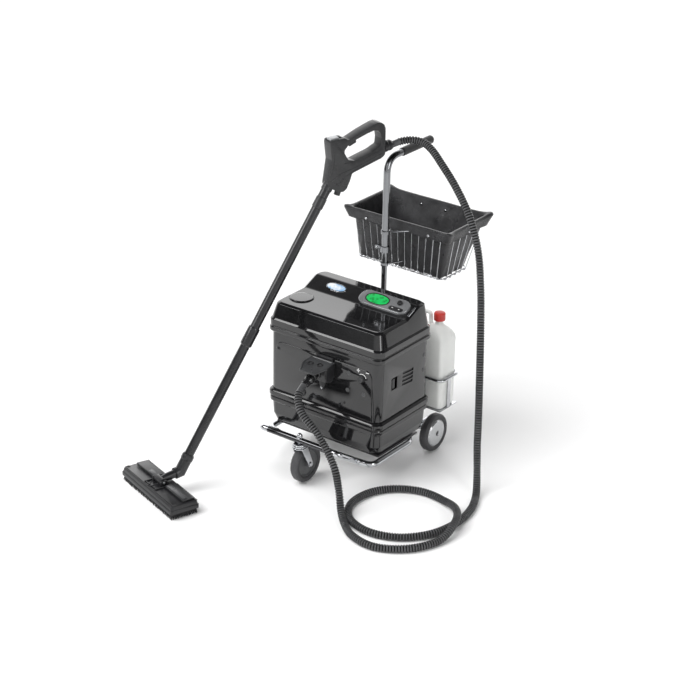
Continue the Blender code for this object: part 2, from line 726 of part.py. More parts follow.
# ---------------------------------------------------------------- detergent bottle
def build_bottle(root, finish):
    centre_x, centre_y = BOTTLE_CENTRE
    half_x, half_y = BOTTLE_HALF
    neck_x = centre_x + BOTTLE_NECK_SHIFT

    def section(share_x, share_y, radius, z, x=centre_x):
        return rounded_rectangle(share_x, share_y, radius, z, (x, centre_y), 4)

    bottle = loft([
        section(half_x - 0.004, half_y - 0.004, 0.012, BOTTLE_BOTTOM_Z),
        section(half_x, half_y, 0.014, BOTTLE_BOTTOM_Z + 0.005),
        section(half_x, half_y, 0.014, BOTTLE_SHOULDER_Z - 0.020),
        section(half_x - 0.003, half_y - 0.003, 0.016, BOTTLE_SHOULDER_Z - 0.006),
        section(half_x - 0.016, half_y - 0.010, 0.022, BOTTLE_SHOULDER_Z + 0.008, centre_x + 0.004),
        section(0.026, 0.020, 0.0199, BOTTLE_SHOULDER_Z + 0.020, neck_x - 0.006),
        section(0.0135, 0.0135, 0.0134, BOTTLE_NECK_Z - 0.012, neck_x),
        section(0.0125, 0.0125, 0.0124, BOTTLE_NECK_Z - 0.011, neck_x),
        section(0.0125, 0.0125, 0.0124, BOTTLE_NECK_Z + 0.010, neck_x),
    ])
    bottle_node = add_node("bottle", bottle, finish["bottle"], root, (centre_x, centre_y, BOTTLE_BOTTOM_Z))
    handle = sweep(rounded_path([
        (-0.010, 0.0, BOTTLE_SHOULDER_Z - BOTTLE_BOTTOM_Z - 0.004),
        (-0.014, 0.0, BOTTLE_NECK_Z - BOTTLE_BOTTOM_Z + 0.018),
        (-0.036, 0.0, BOTTLE_NECK_Z - BOTTLE_BOTTOM_Z + 0.018),
        (-0.048, 0.0, BOTTLE_SHOULDER_Z - BOTTLE_BOTTOM_Z - 0.010),
    ], 0.012, 3), 0.0065, 8)
    add_cutter("bottle_handle", handle, bottle_node, "UNION")
    cap_bottom = BOTTLE_NECK_Z - 0.0095
    cap = lathe([
        (0.0, BOTTLE_NECK_Z + 0.0105),
        (0.0131, BOTTLE_NECK_Z + 0.0105),
        (0.0131, cap_bottom),
        (0.0168, cap_bottom),
        (0.0168, BOTTLE_CAP_Z - 0.0020),
        (0.0150, BOTTLE_CAP_Z),
        (0.0, BOTTLE_CAP_Z),
    ], 20, (neck_x, centre_y, 0.0))
    add_node("bottle_cap", cap, finish["red"], root, (neck_x, centre_y, 0.0))

    ring_z = BOTTLE_RING_Z
    clear = 0.0030
    band = 0.0022
    outer = (half_x + clear + band, half_y + clear + band)
    inner = (half_x + clear, half_y + clear)
    ring = loft([
        section(outer[0], outer[1], 0.018, ring_z - 0.0055),
        section(outer[0], outer[1], 0.018, ring_z + 0.0055),
        section(inner[0], inner[1], 0.016, ring_z + 0.0055),
        section(inner[0], inner[1], 0.016, ring_z - 0.0055),
    ], ring=True)
    holder = add_node("bottle_ring", ring, finish["chrome"], root)
    tray_z = BOTTLE_BOTTOM_Z - 0.0035
    reach = 0.004
    for index, (x, y, wide_x, wide_y) in enumerate((
            (centre_x + outer[0] - 0.0012, centre_y, 0.0012, 0.008),
            (centre_x, centre_y - outer[1] + 0.0012, 0.008, 0.0012),
            (centre_x, centre_y + outer[1] - 0.0012, 0.008, 0.0012))):
        strap = block((x - wide_x, y - wide_y, tray_z), (x + wide_x, y + wide_y, ring_z + reach))
        add_cutter(f"bottle_strap_{index}", strap, holder, "UNION")
    tray = block((centre_x - half_x * 0.7, centre_y - outer[1], tray_z),
                 (centre_x + outer[0], centre_y + outer[1], tray_z + 0.0030))
    add_cutter("bottle_tray", tray, holder, "UNION")
    arm_start = LOWER_POST_RADIUS + 0.0006
    arm = block((arm_start, POST_Y - 0.0015, ring_z - 0.006),
                (centre_x - 0.020, POST_Y + 0.0015, ring_z + 0.006))
    arm_node = add_node("bottle_arm", arm, finish["chrome"], root)
    collar = lathe([(LOWER_POST_RADIUS + 0.0004, ring_z - 0.006),
                    (LOWER_POST_RADIUS + 0.0004, ring_z + 0.006),
                    (LOWER_POST_RADIUS + 0.0035, ring_z + 0.006),
                    (LOWER_POST_RADIUS + 0.0035, ring_z - 0.006)],
                   16, (0.0, POST_Y, 0.0), ring=True)
    add_cutter("bottle_arm_collar", collar, arm_node, "UNION")


# ---------------------------------------------------------------- housing
def console_lift(y):
    """Extra height of the hood's top at depth y: front plateau, sloping console, rear plateau."""
    share = (y - CONSOLE_FRONT_Y) / (CONSOLE_REAR_Y - CONSOLE_FRONT_Y)
    return CONSOLE_RISE * min(1.0, max(0.0, share))


def housing_loop(inset, z, radius=HOUSING_CORNER, segments=4):
    return rounded_rectangle(HOUSING_HALF_X - inset, HOUSING_HALF_Y - inset, radius, z, segments=segments)


def build_housing(root, finish):
    lower = loft([
        housing_loop(0.042, SHELL_BOTTOM_Z + WALL, 0.028),
        housing_loop(0.026, SHELL_BOTTOM_Z + 0.012, 0.028),
        housing_loop(0.014, SHELL_BOTTOM_Z + 0.032),
        housing_loop(0.014, LOWER_BELT_Z - 0.012),
        housing_loop(0.012, LOWER_BELT_Z),
        housing_loop(0.004, LOWER_BELT_Z),
        housing_loop(0.0, LOWER_BELT_Z - 0.006),
        housing_loop(0.0, LOWER_BELT_Z - 0.018),
        housing_loop(0.004, LOWER_BELT_Z - 0.022),
        housing_loop(0.002, LOWER_BELT_Z - 0.030),
        housing_loop(0.002, LOWER_BELT_Z - 0.038),
        housing_loop(0.008, LOWER_BELT_Z - 0.044),
        housing_loop(0.010, SHELL_BOTTOM_Z + 0.032),
        housing_loop(0.020, SHELL_BOTTOM_Z + 0.010, 0.030),
        housing_loop(0.036, SHELL_BOTTOM_Z, 0.030),
    ])
    add_node("lower_shell", lower, finish["black_gloss"], root)

    mid = loft([
        housing_loop(WAIST_INSET, LOWER_BELT_Z + GAP),
        housing_loop(WAIST_INSET, HOOD_SEAM_Z - GAP),
        housing_loop(WAIST_INSET + WALL, HOOD_SEAM_Z - GAP),
        housing_loop(WAIST_INSET + WALL, LOWER_BELT_Z + GAP),
    ], ring=True)
    housing = add_node("mid_housing", mid, finish["black_gloss"], root)
    slots = []
    for number in range(4):
        z = 0.3170 + number * 0.0118
        slot = block((0.190, -0.0150, z - 0.0028), (0.230, 0.0420, z + 0.0028))
        slots.append(slot)
    add_cutter("vent_slots", join(*slots), housing)
    inlet = lathe([(INLET_RADIUS, 0.110), (INLET_RADIUS, 0.150)], 16, (INLET_X, 0.0, INLET_Z),
                  (0.0, 1.0, 0.0))
    add_cutter("inlet_hole", inlet, housing)
    socket_hole = block((-0.008, -0.150, 0.338), (0.030, -0.110, 0.372))
    add_cutter("socket_hole", socket_hole, housing)

    top_inset = 0.020
    outer = [
        housing_loop(0.006, HOOD_SEAM_Z),
        housing_loop(0.0, HOOD_SEAM_Z + 0.003),
        housing_loop(0.0, HOOD_SEAM_Z + 0.016),
        housing_loop(0.004, HOOD_SEAM_Z + 0.019),
        housing_loop(0.002, HOOD_SEAM_Z + 0.023),
        housing_loop(0.002, HOOD_BELT_TOP_Z - 0.003),
        housing_loop(0.006, HOOD_BELT_TOP_Z),
        housing_loop(top_inset - 0.003, HOOD_TOP_Z - 0.005, 0.022),
        housing_loop(top_inset + 0.001, HOOD_TOP_Z, 0.020),
    ]
    inner = [
        housing_loop(top_inset + 0.003, HOOD_TOP_Z - WALL, 0.020),
        housing_loop(0.009, HOOD_BELT_TOP_Z - WALL),
        housing_loop(0.009, HOOD_SEAM_Z),
    ]
    hood = loft(outer + inner, ring=True)
    hood.faces.ensure_lookup_table()
    close_plateaus(hood)
    cut_at_console(hood)
    hood_node = add_node("hood", hood, finish["black_gloss"], root)
    neck = lathe([(0.0300, HOOD_TOP_Z - 0.020), (0.0300, HOOD_TOP_Z + 0.020)], 24,
                 (FILLER[0], FILLER[1], 0.0))
    add_cutter("filler_hole", neck, hood_node)


def close_plateaus(hood):
    """Swap the annulus that joins the outer and inner top loops for two full plates, one above the other."""
    bridge = []
    for face in hood.faces:
        heights = [vert.co.z for vert in face.verts]
        if min(heights) > HOOD_TOP_Z - WALL - 0.0001:
            bridge.append(face)
    bmesh.ops.delete(hood, geom=bridge, context="FACES_ONLY")
    rims = [edge for edge in hood.edges if edge.is_boundary]
    bmesh.ops.contextual_create(hood,
                                geom=[edge for edge in rims if edge.verts[0].co.z > HOOD_TOP_Z - 0.001])
    bmesh.ops.contextual_create(hood,
                                geom=[edge for edge in rims if edge.verts[0].co.z < HOOD_TOP_Z - 0.001])


def cut_at_console(hood):
    """Crease the hood at both edges of the console and lift what lies behind them."""
    for y in (CONSOLE_FRONT_Y, CONSOLE_REAR_Y):
        geometry = list(hood.verts) + list(hood.edges) + list(hood.faces)
        bmesh.ops.bisect_plane(hood, geom=geometry, dist=1e-6, plane_co=(0.0, y, 0.0),
                               plane_no=(0.0, 1.0, 0.0))
    for vert in hood.verts:
        if vert.co.z > HOOD_TOP_Z - 0.012:
            vert.co.z += console_lift(vert.co.y)


def build_front(root, finish):
    front_y = -(HOUSING_HALF_Y - WAIST_INSET)
    panel_low = LOWER_BELT_Z + 0.004
    outline = [(-PANEL_HALF_X, panel_low), (PANEL_HALF_X, panel_low), (0.186, PANEL_SPRING_Z)]
    for step in range(1, 8):
        angle = math.radians(90.0 * step / 8.0)
        rise = (PANEL_TOP_Z - PANEL_SPRING_Z) * math.sin(angle)
        outline.append((0.160 + 0.026 * math.cos(angle), PANEL_SPRING_Z + rise))
    outline += [(-x, z) for x, z in reversed(outline[2:])]
    thick = PANEL_THICKNESS
    panel = loft([[Vector((x, front_y - depth, z)) for x, z in outline] for depth in (GAP, GAP + thick)])
    panel_node = add_node("front_panel", panel, finish["black_gloss"], root)
    opening = block((-0.010, -0.150, 0.336), (0.032, -0.110, 0.374))
    add_cutter("front_panel_opening", opening, panel_node)
    dial_centre = (DIAL_X, front_y, DIAL_Z)
    dial_seat = lathe([(0.0042, -0.02), (0.0042, 0.02)], 12, dial_centre, (0.0, 1.0, 0.0))
    add_cutter("dial_hole", dial_seat, panel_node)
    face = -GAP * 2 - thick
    dial = lathe([(0.0, face - 0.0130), (0.0085, face - 0.0130), (0.0100, face - 0.0110),
                  (0.0108, face - GAP),
                  (0.0038, face - GAP), (0.0038, -0.0008), (0.0, -0.0008)], 20, dial_centre, (0.0, 1.0, 0.0))
    add_node("steam_dial", dial, finish["black_satin"], root, dial_centre)

    mount_y = front_y - thick - GAP * 2
    outline = [(mount_y, 0.331), (mount_y, 0.384), (-0.150, 0.389), (-0.178, 0.383), (-0.186, 0.362),
               (-0.176, 0.334), (-0.150, 0.327)]
    socket = add_node("socket_housing", prism(outline, -0.022, 0.044), finish["black_satin"], root)
    lug_y = mount_y - 0.0010
    lug = prism([(lug_y, 0.3800), (lug_y, 0.4040), (-0.1475, 0.4040), (-0.1475, 0.3800)], -0.020, 0.042)
    add_cutter("flap_lug", lug, socket, "UNION")
    axis = (Vector(HOSE_ROUTE[-1]) - Vector(PLUG_ROOT)).normalized()
    bore = lathe([(0.0138, -0.028), (0.0138, 0.050)], 16, PLUG_ROOT, axis)
    add_cutter("socket_bore", bore, socket)
    reach = (Vector(HOSE_ROUTE[-1]) - Vector(PLUG_ROOT)).length - 0.0004
    plug = lathe([(0.0, -0.026), (0.0110, -0.026), (0.0125, -0.022), (0.0125, 0.006), (0.0160, 0.010),
                  (0.0160, 0.034), (0.0125, 0.040), (0.0118, reach - 0.004), (0.0108, reach), (0.0, reach)],
                 18, PLUG_ROOT, axis)
    add_node("hose_plug", plug, finish["black_gloss"], root)

    lid = loft([[Vector((x, y, z)) for x, y in (
        (-0.030, -0.1510), (0.052, -0.1510), (0.056, -0.188), (0.036, -0.222), (-0.014, -0.222),
        (-0.034, -0.188))]
        for z in (0.3935, 0.3985)])
    tilt(lid, FLAP_TILT, (1.0, 0.0, 0.0), FLAP_HINGE)
    flap = add_node("socket_flap", lid, finish["black_satin"], root, FLAP_HINGE)
    add_bevel(flap, 0.0018)


def console_point(x, y, off=0.0):
    """A point on the console's sloping face, raised off it along its normal."""
    slope = math.atan2(CONSOLE_RISE, CONSOLE_REAR_Y - CONSOLE_FRONT_Y)
    normal = Vector((0.0, -math.sin(slope), math.cos(slope)))
    return Vector((x, y, HOOD_TOP_Z + console_lift(y))) + normal * off


def console_disc(x, y, low, high, half_x, half_y, corner, segments=6):
    """A flat rounded plate that lies parallel to the console's face, between two heights over it."""
    slope = math.atan2(CONSOLE_RISE, CONSOLE_REAR_Y - CONSOLE_FRONT_Y)
    turn = Matrix.Rotation(slope, 3, "X")
    sections = []
    for height, shrink in ((low, 0.0), (high - 0.0015, 0.0), (high, 0.0012)):
        loop = rounded_rectangle(half_x - shrink, half_y - shrink, max(corner - shrink, 0.0005), 0.0,
                                 segments=segments)
        sections.append([console_point(x, y, height) + turn @ point for point in loop])
    return loft(sections)


def build_console(root, finish):
    slope = math.atan2(CONSOLE_RISE, CONSOLE_REAR_Y - CONSOLE_FRONT_Y)
    normal = Vector((0.0, -math.sin(slope), math.cos(slope)))
    pod_x, pod_y = POD_CENTRE
    pod_top = POD_TOP
    pod = console_disc(pod_x, pod_y, GAP, pod_top, POD_HALF[0], POD_HALF[1], POD_CORNER)
    pod_node = add_node("control_pod", pod, finish["silver"], root)
    window_seat = console_disc(WINDOW_X, pod_y, pod_top - 0.0025, pod_top + 0.010, 0.0425, 0.0205, 0.0204, 8)
    add_cutter("window_seat", window_seat, pod_node)
    window = console_disc(WINDOW_X, pod_y, pod_top - 0.0021, pod_top + 0.0008, 0.0420, 0.0200, 0.0199, 8)
    add_node("display_window", window, finish["display"], root)
    knob_at = console_point(*KNOB_AT, pod_top)
    hole = lathe([(0.0040, -0.006), (0.0040, 0.010)], 12, knob_at, normal)
    add_cutter("knob_hole", hole, pod_node)
    knob = lathe([(0.0, -0.0050), (0.0036, -0.0050), (0.0036, GAP), (0.0092, GAP), (0.0086, 0.0060),
                  (0.0055, 0.0088), (0.0, 0.0094)], 20, knob_at, normal)
    add_node("mode_knob", knob, finish["black_satin"], root, knob_at)
    rocker_at = console_point(*ROCKER_AT, pod_top)
    seat = console_disc(*ROCKER_AT, pod_top - 0.0065, pod_top + 0.01, 0.0262, 0.0082, 0.0080)
    add_cutter("rocker_seat", seat, pod_node)
    rocker = console_disc(*ROCKER_AT, pod_top - 0.0030, pod_top + 0.0022, 0.0250, 0.0070, 0.0068)
    add_node("rocker_switch", rocker, finish["black_satin"], root, rocker_at)

    top = HOOD_TOP_Z
    cap = lathe([(0.0, top - 0.012), (0.0280, top - 0.012), (0.0285, top + GAP), (0.0365, top + GAP),
                 (0.0375, top + 0.0018), (0.0365, top + 0.0034), (0.0340, top + 0.0040),
                 (0.0, top + 0.0040)],
                32, (FILLER[0], FILLER[1], 0.0))
    add_node("filler_cap", cap, finish["black_gloss"], root, (FILLER[0], FILLER[1], top))
    inlet_y = HOUSING_HALF_Y - WAIST_INSET
    gland = lathe([(0.0050, inlet_y - 0.010), (0.0128, inlet_y - 0.010), (0.0128, inlet_y + GAP),
                   (0.0190, inlet_y + GAP), (0.0190, inlet_y + 0.006), (0.0120, inlet_y + 0.010),
                   (0.0100, inlet_y + 0.026), (0.0050, inlet_y + 0.026)],
                  18, (INLET_X, 0.0, INLET_Z), (0.0, 1.0, 0.0), ring=True)
    add_node("cord_gland", gland, finish["black_satin"], root)


def build_internals(root, finish):
    floor_z = SHELL_BOTTOM_Z + WALL + GAP
    boiler = lathe([(0.0, floor_z), (0.060, floor_z), (0.078, floor_z + 0.016),
                    (BOILER_RADIUS, floor_z + 0.030),
                    (BOILER_RADIUS, 0.330), (0.074, 0.348), (0.050, 0.360), (0.0, 0.364)],
                   28, (*BOILER_CENTRE, 0.0))
    add_node("boiler", boiler, finish["steel"], root)
    valve = lathe([(0.0, 0.3643), (0.012, 0.3643), (0.012, 0.385), (0.008, 0.388), (0.008, 0.404),
                   (0.0, 0.404)],
                  16, (*BOILER_CENTRE, 0.0))
    add_node("safety_valve", valve, finish["brass"], root)
    tank = loft([rounded_rectangle(0.078, 0.095, 0.012, z, TANK_CENTRE) for z in (0.240, 0.440)])
    tank_node = add_node("water_tank", tank, finish["tank"], root)
    neck = lathe([(0.0260, 0.430), (0.0260, 0.506)], 20, (FILLER[0], FILLER[1], 0.0))
    add_cutter("tank_neck", neck, tank_node, "UNION")
    hollow = loft([rounded_rectangle(0.075, 0.092, 0.010, z, TANK_CENTRE) for z in (0.243, 0.437)])
    add_cutter("tank_hollow", hollow, tank_node)
    throat = lathe([(0.0230, 0.420), (0.0230, 0.520)], 20, (FILLER[0], FILLER[1], 0.0))
    add_cutter("tank_throat", throat, tank_node)
    pump = block((-0.165, -0.060, floor_z), (-0.095, -0.010, 0.170))
    pump_node = add_node("pump", pump, finish["black_satin"], root)
    add_bevel(pump_node, 0.004)
    motor = lathe([(0.024, -0.0105), (0.024, 0.055)], 16, (-0.130, 0.0, 0.140), (0.0, 1.0, 0.0))
    add_cutter("pump_motor", motor, pump_node, "UNION")
    board = block((-0.020, 0.106, 0.250), (0.175, 0.1095, 0.400))
    add_node("control_board", board, finish["board"], root)


# ---------------------------------------------------------------- wand, gun and floor tool
def in_plane(u, v, w=0.0):
    """A point in the wand's own frame: w across, u along its vertical plane, v up."""
    return Vector((w, u, v))


def wand_point(share):
    foot = in_plane(*WAND_FOOT)
    head = in_plane(*WAND_HEAD)
    return foot.lerp(head, share)


def build_wand(frame, finish):
    direction = (wand_point(1.0) - wand_point(0.0)).normalized()
    joint = wand_point(WAND_JOINT)
    lower = sweep([wand_point(0.0) + direction * GAP, joint - direction * GAP], WAND_RADIUS - 0.0015, 16)
    lower_tube = add_node("wand_lower", lower, finish["grey_satin"], frame)
    upper = sweep([joint, wand_point(1.0) - direction * GAP], WAND_RADIUS - 0.0015, 16)
    add_node("wand_upper", upper, finish["grey_satin"], frame)
    collar_profile = [(0.0, -0.034), (WAND_RADIUS - 0.0008, -0.034), (WAND_RADIUS + 0.0025, -0.030),
                      (WAND_RADIUS + 0.0025, 0.030), (WAND_RADIUS - 0.0008, 0.030),
                      (WAND_RADIUS - 0.0008, -GAP), (0.0, -GAP)]
    collar = lathe(collar_profile, 16, joint, direction)
    add_cutter("wand_joint_collar", collar, lower_tube, "UNION")


def build_gun(frame, finish):
    body = [
        (0.5960, 0.9060), (0.5990, 0.9350), (0.6060, 0.9850), (0.6000, 1.0300), (0.5990, 1.0480),
        (0.6520, 1.0480),
        (0.6640, 1.0400), (0.6700, 1.0400), (0.7150, 1.0580), (0.7610, 1.0736), (0.7830, 1.0775),
        (0.7970, 1.0715),
        (GUN_REAR, 1.0560), (GUN_REAR, 0.9680), (0.7900, 0.9590), (0.7340, 0.9440), (0.6813, 0.9300),
        (0.6740, 0.9080), (0.6620, 0.8830), (0.6500, 0.8760), (0.6320, 0.8800),
    ]
    gun = add_node("gun_body", prism(body, -0.018, 0.018), finish["black_satin"], frame)
    add_bevel(gun, 0.006)
    hole = [
        (0.6520, 0.9990), (0.6520, 1.0090), (0.6645, 1.0225), (0.6860, 1.0335), (0.7340, 1.0480),
        (0.7580, 1.0535),
        (0.7740, 1.0510), (0.7844, 1.0403), (0.7876, 1.0230), (0.7857, 1.0003), (0.7546, 0.9865),
        (0.6888, 0.9693),
        (0.6660, 0.9760),
    ]
    cutter = prism(hole, -0.030, 0.030)
    add_cutter("gun_finger_hole", cutter, gun)
    slot = [(0.6705, 1.0150), (0.7050, 1.0280), (0.6990, 1.0460), (0.6680, 1.0352)]
    add_cutter("gun_trigger_slot", prism(slot, -0.0072, 0.0072), gun)
    blade = [(0.6775, 1.0125), (0.7025, 1.0230), (0.6995, 1.0400), (0.6725, 1.0295)]
    trigger = prism(blade, -0.0064, 0.0064)
    trigger_node = add_node("gun_trigger", trigger, finish["black_satin"], frame, in_plane(*TRIGGER_PIVOT))
    add_bevel(trigger_node, 0.002)
    lock = block((-0.0110, 0.604, 1.0445), (0.0110, 0.636, 1.0520))
    lock_seat = block((-0.0116, 0.6010, 1.0440), (0.0116, 0.6470, 1.0700))
    add_cutter("gun_lock_seat", lock_seat, gun)
    lock_node = add_node("gun_lock", lock, finish["silver"], frame, in_plane(0.620, 1.0450))
    add_bevel(lock_node, 0.002)
    end = Matrix.Rotation(-TOOL_YAW, 3, "Z") @ (Vector(HOSE_ROUTE[0]) - Vector((*TOOL_CENTRE, 0.0)))
    reach = end.y - GUN_REAR - 0.0003
    collar = lathe([(0.0, GAP), (0.0160, GAP), (0.0155, reach * 0.5), (0.0120, reach), (0.0, reach)], 16,
                   (end.x, GUN_REAR, end.z), (0.0, 1.0, 0.0))
    add_node("hose_collar", collar, finish["black_satin"], frame)
    latch = [(0.634, 0.8775), (0.6500, 0.8735), (0.6440, 0.8590), (0.6290, 0.8650)]
    latch_node = add_node("wand_latch", prism(latch, -0.0060, 0.0060), finish["black_satin"], frame,
                          in_plane(0.642, 0.8750))
    add_bevel(latch_node, 0.0012)


def build_floor_tool(frame, finish):
    half_x, half_y = TOOL_HALF
    plate_low = 0.0185
    plate_top = 0.0440
    outline = rounded_rectangle(half_x, half_y, 0.007, 0.0, segments=3)
    shoulder = rounded_rectangle(half_x - 0.004, half_y - 0.006, 0.006, 0.0, segments=3)

    def at(loop, z):
        return [Vector((point.x, point.y, z)) for point in loop]

    pivot = in_plane(0.0, plate_top + 0.0120)
    head = loft([at(outline, plate_low), at(outline, plate_low + 0.012), at(shoulder, plate_top)])
    head_node = add_node("tool_head", head, finish["black_satin"], frame, pivot)
    for name, x in (("left", -0.0235), ("right", 0.0235)):
        ear = prism([(-0.012, plate_top - 0.002), (0.012, plate_top - 0.002), (0.008, plate_top + 0.018),
                     (-0.008, plate_top + 0.018)], x - 0.0035, x + 0.0035)
        bmesh.ops.translate(ear, verts=ear.verts, vec=-pivot)
        add_cutter("tool_ear_" + name, ear, head_node, "UNION")
    bristle_top = at(rounded_rectangle(half_x - 0.006, half_y - 0.006, 0.005, 0.0, segments=3),
                     plate_low - GAP)
    bristle_tip = at(rounded_rectangle(half_x - 0.002, half_y - 0.002, 0.005, 0.0, segments=3), 0.0)
    add_node("tool_bristles", loft([bristle_tip, bristle_top]), finish["rubber"], frame, pivot)

    for name, side in (("left", -1.0), ("right", 1.0)):
        low_x, high_x = sorted((side * 0.036, side * 0.142))
        hinge_z = plate_top + 0.0050
        clip = prism([(-0.0025, plate_top + 0.0012), (0.0420, plate_top + 0.0012),
                      (0.0400, plate_top + 0.0060),
                      (0.0, plate_top + 0.0080), (-0.0025, plate_top + 0.0070)], low_x, high_x)
        clip_node = add_node("cloth_clamp_" + name, clip, finish["black_satin"], frame, (0.0, 0.0, hinge_z))
        add_bevel(clip_node, 0.001)

    knuckle = lathe([(0.0108, -0.0190), (0.0108, 0.0190)], 16, pivot, (1.0, 0.0, 0.0))
    neck = add_node("tool_neck", knuckle, finish["black_satin"], frame, pivot)
    stub = sweep([Vector((0.0, 0.004, 0.0)), Vector((0.0, 0.030, 0.0035)),
                  Vector((0.0, 0.052, 0.0065))], 0.0130, 14,
                 [0.0095, 0.0130, 0.0130])
    add_cutter("tool_neck_stub", stub, neck, "UNION")
    start = pivot + Vector((0.0, 0.0526, 0.0065))
    direction = (wand_point(1.0) - wand_point(0.0)).normalized()
    corner = wand_point(0.0) - direction * ELBOW_REACH
    elbow = mitred_pipe([start, corner, wand_point(0.0)], ELBOW_RADIUS, 20)
    add_node("tool_elbow", elbow, finish["black_satin"], frame)


# ---------------------------------------------------------------- steam hose
def build_hose(root, finish):
    points = curve_through(HOSE_ROUTE, HOSE_RADIUS * 2.0 * 2.2)
    gun_axis = Vector((-math.sin(TOOL_YAW), math.cos(TOOL_YAW), 0.0))
    plug_axis = (Vector(HOSE_ROUTE[-1]) - Vector(PLUG_ROOT)).normalized()
    points.insert(1, points[0] + gun_axis * HOSE_END_STRAIGHT)
    points.insert(-1, points[-1] + plug_axis * HOSE_END_STRAIGHT)
    data = bpy.data.curves.new("steam_hose", "CURVE")
    data.dimensions = "3D"
    data.bevel_depth = HOSE_RADIUS
    data.bevel_resolution = 2
    data.use_fill_caps = True
    spline = data.splines.new("POLY")
    spline.points.add(len(points) - 1)
    for slot, point in zip(spline.points, points):
        slot.co = (*point, 1.0)
    data.materials.append(finish["rubber"])
    hose = bpy.data.objects.new("steam_hose", data)
    bpy.context.scene.collection.objects.link(hose)
    hose.parent = root
    OBJECTS["steam_hose"] = hose


def centre_footprint(root):
    """Slide the whole object so that the world origin is under the middle of its box, hose left out."""
    bpy.context.view_layer.update()
    graph = bpy.context.evaluated_depsgraph_get()
    low = Vector((1e9, 1e9, 1e9))
    high = -low
    for name, item in OBJECTS.items():
        if name in ("steam_hose", "hose_plug", "hose_collar"):
            continue
        solid = item.evaluated_get(graph)
        mesh = solid.to_mesh()
        for vert in mesh.vertices:
            point = item.matrix_world @ vert.co
            low = Vector([min(low[i], point[i]) for i in range(3)])
            high = Vector([max(high[i], point[i]) for i in range(3)])
        solid.to_mesh_clear()
    middle = (low + high) / 2.0
    root.location = (-middle.x, -middle.y, 0.0)
    bpy.context.view_layer.update()


def main():
    for item in list(bpy.data.objects):
        bpy.data.objects.remove(item)
    finish = build_materials()
    root = new_empty("machine_frame")
    wand_frame = new_empty("wand_frame", (*TOOL_CENTRE, 0.0), root, TOOL_YAW)
    build_trolley(root, finish)
    build_rear_wheels(root, finish)
    build_caster(root, finish)
    build_post(root, finish)
    build_hangers(root, finish)
    build_basket(root, finish)
    build_bottle(root, finish)
    build_housing(root, finish)
    build_front(root, finish)
    build_console(root, finish)
    build_internals(root, finish)
    build_wand(wand_frame, finish)
    build_gun(wand_frame, finish)
    build_floor_tool(wand_frame, finish)
    build_hose(root, finish)
    centre_footprint(root)


main()
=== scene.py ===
"""Looks of the commercial steam cleaner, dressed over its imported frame."""
import math

import bmesh
import bpy
from mathutils import Matrix, Vector, noise


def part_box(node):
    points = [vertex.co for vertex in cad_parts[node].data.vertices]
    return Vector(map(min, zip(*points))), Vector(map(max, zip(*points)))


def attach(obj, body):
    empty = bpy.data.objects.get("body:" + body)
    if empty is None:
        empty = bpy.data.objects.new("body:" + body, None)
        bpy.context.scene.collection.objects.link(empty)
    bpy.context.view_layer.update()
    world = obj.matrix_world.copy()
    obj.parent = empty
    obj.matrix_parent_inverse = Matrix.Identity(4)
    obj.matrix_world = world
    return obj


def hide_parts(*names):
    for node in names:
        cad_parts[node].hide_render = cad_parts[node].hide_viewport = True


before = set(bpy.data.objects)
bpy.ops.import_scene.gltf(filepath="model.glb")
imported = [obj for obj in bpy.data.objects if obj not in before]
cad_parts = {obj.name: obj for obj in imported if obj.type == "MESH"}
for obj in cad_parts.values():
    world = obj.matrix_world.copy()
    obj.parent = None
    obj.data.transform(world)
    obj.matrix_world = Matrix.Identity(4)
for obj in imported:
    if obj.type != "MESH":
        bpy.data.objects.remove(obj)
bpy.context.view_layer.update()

# ---------------------------------------------------------------- places, all from the frame
housing_low, housing_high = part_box("mid_housing")
MACHINE = Vector(((housing_low.x + housing_high.x) / 2.0, (housing_low.y + housing_high.y) / 2.0, 0.0))
TOOL_CENTRE = Vector((-0.286, -0.58, 0.0))
TOOL_YAW = math.radians(-19.0)
TO_MACHINE = Matrix.Translation(MACHINE)
TO_WAND = TO_MACHINE @ Matrix.Translation(TOOL_CENTRE) @ Matrix.Rotation(TOOL_YAW, 4, "Z")

HALF_X = (housing_high.x - housing_low.x) / 2.0 + 0.008
HALF_Y = (housing_high.y - housing_low.y) / 2.0 + 0.008
CORNER = 0.026
FACE_Y = -(HALF_Y - 0.008)      # front face of the middle housing
SIDE_X = HALF_X - 0.008
LOWER_TOP = 0.226
SEAM = 0.427
HOOD_TOP = 0.524
RISE = 0.026
CREASE_FRONT = 0.022
CREASE_REAR = 0.082
SLOPE = math.atan2(RISE, CREASE_REAR - CREASE_FRONT)

WHEEL_RADIUS = 0.063
AXLE_Z = WHEEL_RADIUS * math.cos(math.pi / 36)
FRONT_BAR_Y = -0.251
FRONT_BAR_Z = 0.152
POST_Y = 0.176
RAIL_Z = 0.089

